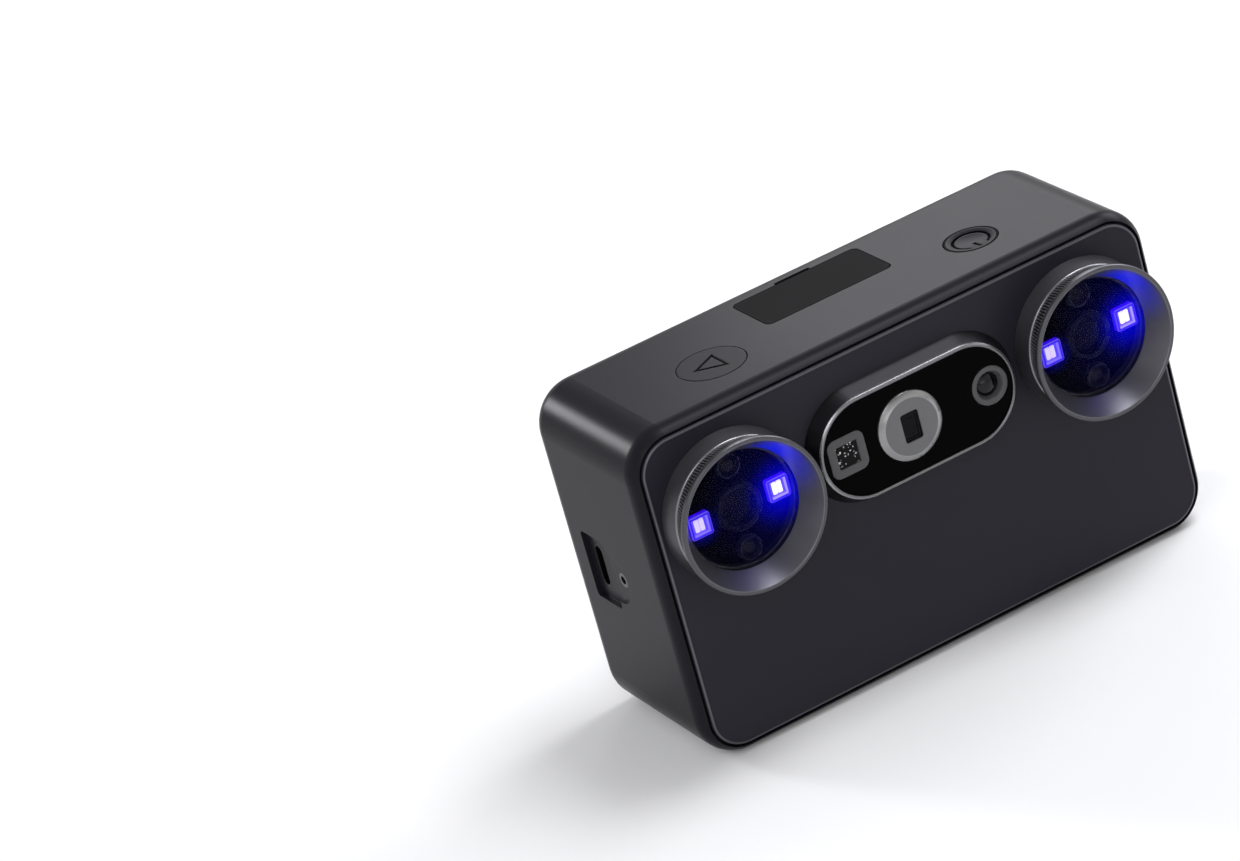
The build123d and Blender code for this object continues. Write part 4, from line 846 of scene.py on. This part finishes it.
# Lamp package with its well, and die, as (inset, reach)
package_steps = [(0.0, BOARD_REACH), (0.0, LAMP_TOP - 0.2), (0.06, LAMP_TOP - 0.06), (0.2, LAMP_TOP),
                 (0.52, LAMP_TOP), (0.6, LAMP_TOP - 0.06), (0.66, LAMP_TOP - 0.2), (0.8, WELL_FLOOR + 0.1),
                 (0.92, WELL_FLOOR)]
die_steps = [(0.0, WELL_FLOOR), (0.0, WELL_FLOOR + 0.26), (0.08, WELL_FLOOR + 0.34),
             (0.3, WELL_FLOOR + 0.36)]

for side, x in (("left", -LENS_X), ("right", LENS_X)):
    anodised = spun_metal(f"anodised_{side}", (0.088, 0.0855, 0.097), roughness=0.36, metallic=0.75, axis_x=x,
                          polish=base_edge_highlight)
    ribbed = ribbed_metal(f"ribbed_{side}", x)
    glass_finish = lit_glass(f"barrel_glass_{side}", x)
    hood_finish = lit_hood(f"hood_black_{side}", x)
    lamp_finish = lamp_package(f"lamp_{side}", x)
    bead_finish = optic(f"bead_{side}", x, BEAD_OFFSET, rim_radius=2.0, gloss=0.4, rim=(0.016, 0.0186, 0.045))
    camera_finish = optic(f"camera_element_{side}", x, offset=0.0, rim_radius=3.6, gloss=0.16,
                          rim=(0.008, 0.0093, 0.029))

    base = turned(soften(base_section, base_round), x, LENS_Z, 160)
    piece(f"barrel_base_{side}", [shell(base, True)], anodised, replaces=[f"lens_{side}_base"])

    hood = turned(soften(hood_section, 0.1), x, LENS_Z, 192)
    piece(f"hood_{side}", [shell(hood, True)], hood_finish, replaces=[f"lens_{side}_hood"])

    band = ribbed_band(x)
    piece(f"grip_band_{side}", [shell(band, True)], ribbed, replaces=[f"lens_{side}_grip_ring"])

    glass = turned(soften(glass_section, 0.1, 2), x, LENS_Z)
    piece(f"front_glass_{side}", [shell(glass, True)], glass_finish,
          replaces=[f"lens_{side}_glass"])

    lens = turned(soften(camera_section, 0.12, 2), x, LENS_Z, 96)
    piece(f"camera_{side}", [shell(lens, True)], camera_finish, replaces=[f"lens_{side}_camera"],
          sharp=SHARP_DOME)

    bead_profile = soften(bead_section, 0.1, 2)
    beads = [shell(turned(bead_profile, x, LENS_Z + way * BEAD_OFFSET, 64), True) for way in BOTH_WAYS]
    piece(f"beads_{side}", beads, bead_finish, replaces=[f"lens_{side}_beads"], sharp=SHARP_DOME)

    lamp_places = [x + way * EMITTER_OFFSET for way in BOTH_WAYS]
    lamps = [square_block((EMITTER_SIZE, EMITTER_SIZE), EMITTER_ROUND, place, LENS_Z, package_steps)
             for place in lamp_places]
    piece(f"emitters_{side}", lamps, lamp_finish, replaces=[f"lens_{side}_emitters"])
    dies = [square_block(DIE_SIZE, DIE_ROUND, place + half * DIE_OFFSET, LENS_Z, die_steps)
            for place in lamp_places for half in BOTH_WAYS]
    piece(f"dies_{side}", dies, lamp_die(f"die_{side}", x))


# Window between the barrels

def window_outline(inset):
    """Stadium of the window's foot, drawn in by inset."""
    length = WINDOW_LENGTH + 2 * WINDOW_FOOT - 2 * inset
    width = WINDOW_WIDTH + 2 * WINDOW_FOOT - 2 * inset
    return rounded_outline(length, width, width / 2 - 1e-4, 40) + [0, LENS_Z]


rim_inner = WINDOW_FOOT + RIM_WIDTH
rim_section = [(0, 0), (0.15, 0.35), (WINDOW_FOOT + 0.12, WINDOW_REACH - 0.38),
               (WINDOW_FOOT + 0.5, WINDOW_REACH), (rim_inner, WINDOW_REACH), (rim_inner, PANE_BACK),
               (rim_inner + RIM_LEDGE, PANE_BACK), (rim_inner + RIM_LEDGE, TRAY_FLOOR),
               (rim_inner + RIM_WALL, TRAY_FLOOR), (rim_inner + RIM_WALL, RIM_BACK), (rim_inner, RIM_BACK),
               (rim_inner, 0)]
rim_round = [0.05, 0.1, 0.2, 0.22, 0.12] + [0.05] * 7
window_frame = carried(soften(rim_section, rim_round), window_outline, on_front)
piece("window_frame", [shell(window_frame, True)], window_metal, replaces=["window_rim"])


def dot_outline(inset):
    """Rounded square of the dot projector's frame, drawn in by inset."""
    size = DOT_SIZE - 2 * inset
    return rounded_outline(size, size, max(DOT_ROUND - inset, 0.12), 10) + [DOT_X, LENS_Z]


dot_steps = [(0, TRAY_FLOOR), (0, 2.75), (0.08, 2.93), (0.25, PANE_TOP), (1.6, PANE_TOP), (1.75, 2.95),
             (1.75, 2.0)]
dot_frame = carried(dot_steps, dot_outline, on_front)
piece("dot_frame", [shell(dot_frame)], module_grey, replaces=["dot_projector_frame"])


def square_grid(half, x, reach, relief, thickness, waves):
    """Square plate seen from the front: a grid of rings from its edge to its middle,
    with relief * |saw(u)| * |saw(v)| standing on its face, where saw has waves turns in two millimetres."""
    rows = np.linspace(1, 0.02, 26)[:, None, None]
    edge = rounded_outline(2 * half, 2 * half, 0.1, 12)[None]
    ring = rows * edge
    saw = np.abs((ring[..., 0] * waves) % 2 - 1) * np.abs((ring[..., 1] * waves) % 2 - 1)
    raised = reach + relief * saw * (rows[..., 0] < 0.97)
    face = on_front(x + ring[..., 0], LENS_Z + ring[..., 1], raised)
    back = on_front(x + edge[..., 0], LENS_Z + edge[..., 1], reach - thickness)
    return shell(np.concatenate([back, face]))


dot_lens = square_grid(half=2.3, x=DOT_X, reach=2.75, relief=0.05, thickness=0.8, waves=2.2)
piece("dot_lens", [dot_lens], glint_window, replaces=["dot_projector_window"], sharp=SHARP_FACET)

laser_corner = 10
laser_hole = rounded_outline(*LASER_HOLE, 0.5, laser_corner)


def laser_ring(share, radius):
    """Outline between the laser window's hole (share 0) and a circle of the radius (share 1)."""
    circle = rounded_outline(2 * radius, 2 * radius, radius, laser_corner)
    return (laser_hole + (circle - laser_hole) * share) + [LASER_X, LENS_Z]


# Laser disc, as (share, radius, reach): up its wall, over the bevel, across the face and down into its hole
laser_rows = [(1, LASER_RADIUS, TRAY_FLOOR), (1, LASER_RADIUS, 3.2), (1, 6.97, 3.29), (1, 6.9, 3.36),
              (1, LASER_FACE + 0.1, 3.86), (1, LASER_FACE, 3.89), (1, LASER_FACE - 0.1, LASER_TOP),
              (0.55, LASER_FACE, LASER_TOP), (0.03, LASER_FACE, LASER_TOP), (0.0, LASER_FACE, 3.84),
              (0.0, LASER_FACE, LASER_PANE_BACK)]
laser_grid = [on_front(*laser_ring(share, radius).T, reach) for share, radius, reach in laser_rows]
piece("laser_disc", [shell(np.stack(laser_grid))], laser_grey, replaces=["laser_projector"])


def laser_pane_outline(inset):
    """Rounded oblong of the laser's window, drawn in by inset."""
    width, height = LASER_PANE
    radius = max(0.45 - inset, 0.05)
    return rounded_outline(width - 2 * inset, height - 2 * inset, radius, 8) + [LASER_X, LENS_Z]


pane_steps = [(0, LASER_PANE_BACK), (0, 3.45), (0.15, 3.5), (0.5, 3.5), (0.55, 3.3), (1.2, 3.3), (1.3, 3.38),
              (1.6, 3.38)]
laser_pane = carried(pane_steps, laser_pane_outline, on_front)
piece("laser_pane", [shell(laser_pane)], laser_pane_finish, replaces=["laser_window"])

colour_section = [(AXIS_RADIUS, TRAY_FLOOR), (COLOUR_RADIUS, TRAY_FLOOR), (COLOUR_RADIUS, 2.85),
                  (3.85, PANE_TOP), (3.05, PANE_TOP), (2.85, 2.85), (2.5, 1.75), (AXIS_RADIUS, 1.7)]
colour_ring = turned(soften(colour_section, 0.1, 2), COLOUR_X, LENS_Z, 96)
piece("colour_ring", [shell(colour_ring, True)], module_grey, replaces=["colour_camera_ring"])

# Colour camera's lens: its reach over the edge is rise * (1 - (r / radius)^2)
dome = np.linspace(AXIS_RADIUS, 1.0, 14)
dome_top = np.stack([COLOUR_LENS_RADIUS * dome, COLOUR_LENS_EDGE + COLOUR_LENS_RISE * (1 - dome ** 2)], -1)
dome_back = [[AXIS_RADIUS, COLOUR_LENS_BACK], [COLOUR_LENS_RADIUS, COLOUR_LENS_BACK]]
colour_lens = turned(np.concatenate([dome_back, dome_top[::-1]]), COLOUR_X, LENS_Z, 72)
piece("colour_lens", [shell(colour_lens, True)], colour_element, replaces=["colour_camera_lens"],
      sharp=SHARP_DOME)

# Tripod insert with its thread
THREAD_PITCH = 1.27
THREAD_RADIUS = 3.17
THREAD_DEPTH = 0.45
THREAD_START = 0.35
THREAD_END = 7.9
THREAD_FADE = 0.5
INSERT_RADIUS = 4.75
INSERT_END = 7.95


def thread_surface():
    """Threaded insert: outer rows are plain circles, and inner rows at an angle a are
    r = radius - depth * saw(z / pitch - a / turn), where saw rises from 0 to 1 and falls again, and the depth
    fades in from the thread's start."""
    angle = full_turn(72)[None, :]
    height = np.linspace(THREAD_START, THREAD_END, 72)[:, None]
    phase = (height / THREAD_PITCH - angle / FULL_TURN) % 1.0
    saw = 1 - np.abs(2 * phase - 1)
    fade = np.clip((height - THREAD_START) / THREAD_FADE, 0, 1)
    inner = THREAD_RADIUS - THREAD_DEPTH * saw * fade
    outer = [(INSERT_RADIUS, INSERT_END), (INSERT_RADIUS, 0.25), (4.5, 0.0), (3.6, 0.0), (3.25, 0.15)]
    rows = [on_base(radius * np.cos(angle), radius * np.sin(angle), level) for radius, level in outer]
    wall = on_base(inner * np.cos(angle), inner * np.sin(angle), height)
    end = on_base(THREAD_RADIUS * np.cos(angle), THREAD_RADIUS * np.sin(angle), INSERT_END)
    return np.concatenate([*rows, wall, end])


piece("threaded_insert", [shell(thread_surface(), True)], bright_steel, replaces=["tripod_insert"],
      sharp=SHARP_THREAD)

# Vent grille with its two fields of fine holes, each given as its middle and its number of rows
HOLE_PITCH = 0.65
HOLE_LIP = 0.3
HOLE_WALL = 0.22
HOLE_DEPTH = 0.6
HOLE_COLUMNS = 20
SMALL_FIELD = (-4.45, 8)
LARGE_FIELD = (7.45, 22)
VENT_ROUND = 1.5
vent_low, vent_high = (np.array(end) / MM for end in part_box("vent_grille"))


def hole_lines(middle, count):
    """Grid lines across a row of holes, four a hole: two at its lip and two at the foot of its wall."""
    centres = middle + (np.arange(count) - (count - 1) / 2) * HOLE_PITCH
    lines = HOLE_PITCH * np.array([-HOLE_LIP, -HOLE_WALL, HOLE_WALL, HOLE_LIP])
    return (centres[:, None] + lines).ravel()


def vent_surface():
    """Grille over (u, v) in X and Y: height = depth * hole(u) * hole(v), where hole is 1 between the feet of
    a hole's walls. The side margins draw in towards the ends by r - sqrt(r^2 - q^2) to round the corners,
    where q is how far a row lies past the corner's centre. Each row closes over the inner face."""
    middle = (vent_low[0] + vent_high[0]) / 2
    half = (vent_high[0] - vent_low[0]) / 2
    margin = np.array([0.0, 0.1, 0.5, 1.0, VENT_ROUND])
    end_margin = np.array([0.03, 0.1, 0.3, 0.6, 1.0, VENT_ROUND])
    holes_x = hole_lines(0.0, HOLE_COLUMNS)
    holes_y = np.concatenate([hole_lines(*SMALL_FIELD), hole_lines(*LARGE_FIELD)])
    u = np.concatenate([margin - half, holes_x, (half - margin)[::-1]])
    v = np.concatenate([vent_low[1] + end_margin, holes_y, (vent_high[1] - end_margin)[::-1]])
    in_x = np.concatenate([margin * 0, np.tile([0, 1, 1, 0], HOLE_COLUMNS), margin * 0])
    rows = len(holes_y) // 4
    in_y = np.concatenate([end_margin * 0, np.tile([0, 1, 1, 0], rows), end_margin * 0])
    past = np.maximum(VENT_ROUND - np.minimum(v - vent_low[1], vent_high[1] - v), 0)
    draw = VENT_ROUND - np.sqrt(VENT_ROUND ** 2 - past ** 2)
    share = np.maximum(np.abs(u) - (half - VENT_ROUND), 0) / VENT_ROUND
    x = u[None, :] - np.sign(u)[None, :] * share[None, :] * draw[:, None]
    face = on_base(middle + x, v[:, None], HOLE_DEPTH * in_y[:, None] * in_x[None, :])
    back = on_base(middle + x[:, [-1, 0]], v[:, None], vent_high[2])
    return np.concatenate([face, back], 1)


piece("vent_mesh", [shell(vent_surface())], mesh_grey, replaces=["vent_grille"])

# Printed dots beside the mode switch, one above and two below
SWITCH_Y = MID_Y - 3.9
INK_RADIUS = 0.45
INK_SPACING = 0.8
INK_HIGH_Z = 57.0
INK_LOW_Z = 46.6


def ink_dot(y, z):
    """Thin printed disc on the switch panel, let into it a little and a few microns thick."""
    angle = full_turn(24)
    steps = ((INK_RADIUS, -0.02), (INK_RADIUS, 0.003), (INK_RADIUS * 0.5, 0.004))
    rows = [on_door_side(y + r * np.cos(angle), z + r * np.sin(angle), reach) for r, reach in steps]
    return shell(np.stack(rows))


ink_places = ((SWITCH_Y, INK_HIGH_Z), (SWITCH_Y - INK_SPACING, INK_LOW_Z),
              (SWITCH_Y + INK_SPACING, INK_LOW_Z))
piece("switch_dots", [ink_dot(y, z) for y, z in ink_places], print_white)

# Camera, placed in metres at the photograph's angle
CAMERA_PLACE = (-0.40797, -0.86782, 0.49516)
CAMERA_RIGHT = Vector((0.84522, -0.47188, -0.25089))
CAMERA_UP = Vector((0.40750, 0.26530, 0.87382))
camera_data = bpy.data.cameras.new("camera")
camera_data.sensor_width = 36.0
camera_data.lens = 160.757
camera_data.clip_start = 0.01
camera_data.clip_end = 50.0
camera = bpy.data.objects.new("camera", camera_data)
axes = Matrix((CAMERA_RIGHT, CAMERA_UP, CAMERA_RIGHT.cross(CAMERA_UP))).transposed()
camera.matrix_world = Matrix.Translation(CAMERA_PLACE) @ axes.to_4x4()
bpy.context.scene.collection.objects.link(camera)
bpy.context.scene.camera = camera

# Floor, in metres; it is open from below, and to the base that stands on it, which is nearer than the gap
FLOOR_HALF = 12.0
STANDING_GAP = 0.05 * MM
floor_mesh = bpy.data.meshes.new("floor")
floor_corners = np.array([[-1, -1, 0], [1, -1, 0], [1, 1, 0], [-1, 1, 0]]) * FLOOR_HALF
floor_mesh.from_pydata(floor_corners.tolist(), [], [[0, 1, 2, 3]])
floor = bpy.data.objects.new("floor", floor_mesh)
bpy.context.scene.collection.objects.link(floor)
pale = Finish("floor_pale")
paint = pale.node("ShaderNodeBsdfDiffuse", {}, {"Color": grey(0.77)})
lift = pale.node("ShaderNodeEmission", {}, {"Color": grey(1), "Strength": 0.04})
seen = pale.node("ShaderNodeAddShader", {}, {0: paint, 1: lift})
clear = pale.node("ShaderNodeBsdfTransparent", {}, {})
from_below = pale.node("ShaderNodeNewGeometry", {}, {}, "Backfacing")
touching = pale.node("ShaderNodeLightPath", {}, {}, "Ray Length") < STANDING_GAP
is_open = from_below.math("MAXIMUM", touching)
both = pale.node("ShaderNodeMixShader", {}, {0: is_open, 1: seen, 2: clear})
floor_mesh.materials.append(pale.output(both))

# World: a dome that is pale near the horizon and grey above, as stops of (sine of the height, level)
DOME_STOPS = ((0.0, 0.9), (0.42, 0.9), (0.56, 0.225), (0.8, 0.225), (1.0, 0.34))
world = bpy.data.worlds.new("studio")
bpy.context.scene.world = world
world.use_nodes = True
sky = world.node_tree
sky.nodes.clear()
direction = sky.nodes.new("ShaderNodeTexCoord")
split = sky.nodes.new("ShaderNodeSeparateXYZ")
sky.links.new(direction.outputs["Generated"], split.inputs[0])
dome_ramp = sky.nodes.new("ShaderNodeValToRGB")
stops = dome_ramp.color_ramp.elements
while len(stops) < len(DOME_STOPS):
    stops.new(0.5)
for element, (stop, level) in zip(stops, DOME_STOPS):
    element.position = stop
    element.color = grey(level)
sky.links.new(split.outputs[2], dome_ramp.inputs[0])
background = sky.nodes.new("ShaderNodeBackground")
sky.links.new(dome_ramp.outputs["Color"], background.inputs["Color"])
world_out = sky.nodes.new("ShaderNodeOutputWorld")
sky.links.new(background.outputs[0], world_out.inputs["Surface"])

# Lamps, in metres
LAMP_COLOUR = (0.96, 0.965, 1.0)
MIDDLE = (0.0, MID_Y * MM, 0.035)
TOP_CORNER = (0.05, MID_Y * MM, 0.06)


def soft_lamp(name, place, width, height, radiance, target=MIDDLE):
    """Area lamp of a given radiance: its power is pi times its area times that radiance."""
    data = bpy.data.lights.new(name, "AREA")
    data.shape = "RECTANGLE"
    data.size = width
    data.size_y = height
    data.energy = math.pi * width * height * radiance
    data.color = LAMP_COLOUR
    lamp = bpy.data.objects.new(name, data)
    lamp.location = place
    lamp.rotation_euler = (Vector(place) - Vector(target)).to_track_quat("Z", "Y").to_euler()
    lamp.visible_camera = False
    bpy.context.scene.collection.objects.link(lamp)


soft_lamp("overhead", (0.42, -0.10, 1.05), width=0.45, height=0.45, radiance=11.3)
soft_lamp("left", (-0.24, -0.28, 0.34), width=0.3, height=0.2, radiance=2.55)
soft_lamp("front", (-0.15, -1.15, 0.16), width=0.5, height=0.3, radiance=1.1)
soft_lamp("back_left", (-0.55, 1.12, 0.48), width=0.2, height=0.35, radiance=34.0)
soft_lamp("back_right", (0.265, 0.42, 0.31), width=0.2, height=0.2, radiance=3.6, target=TOP_CORNER)
soft_lamp("right", (0.45, 0.10, 0.36), width=0.25, height=0.25, radiance=6.75)
soft_lamp("under", (0.5, 0.45, -0.6), width=0.7, height=0.7, radiance=9.75)

bpy.context.scene.view_settings.view_transform = "Standard"

bpy.context.view_layer.update()
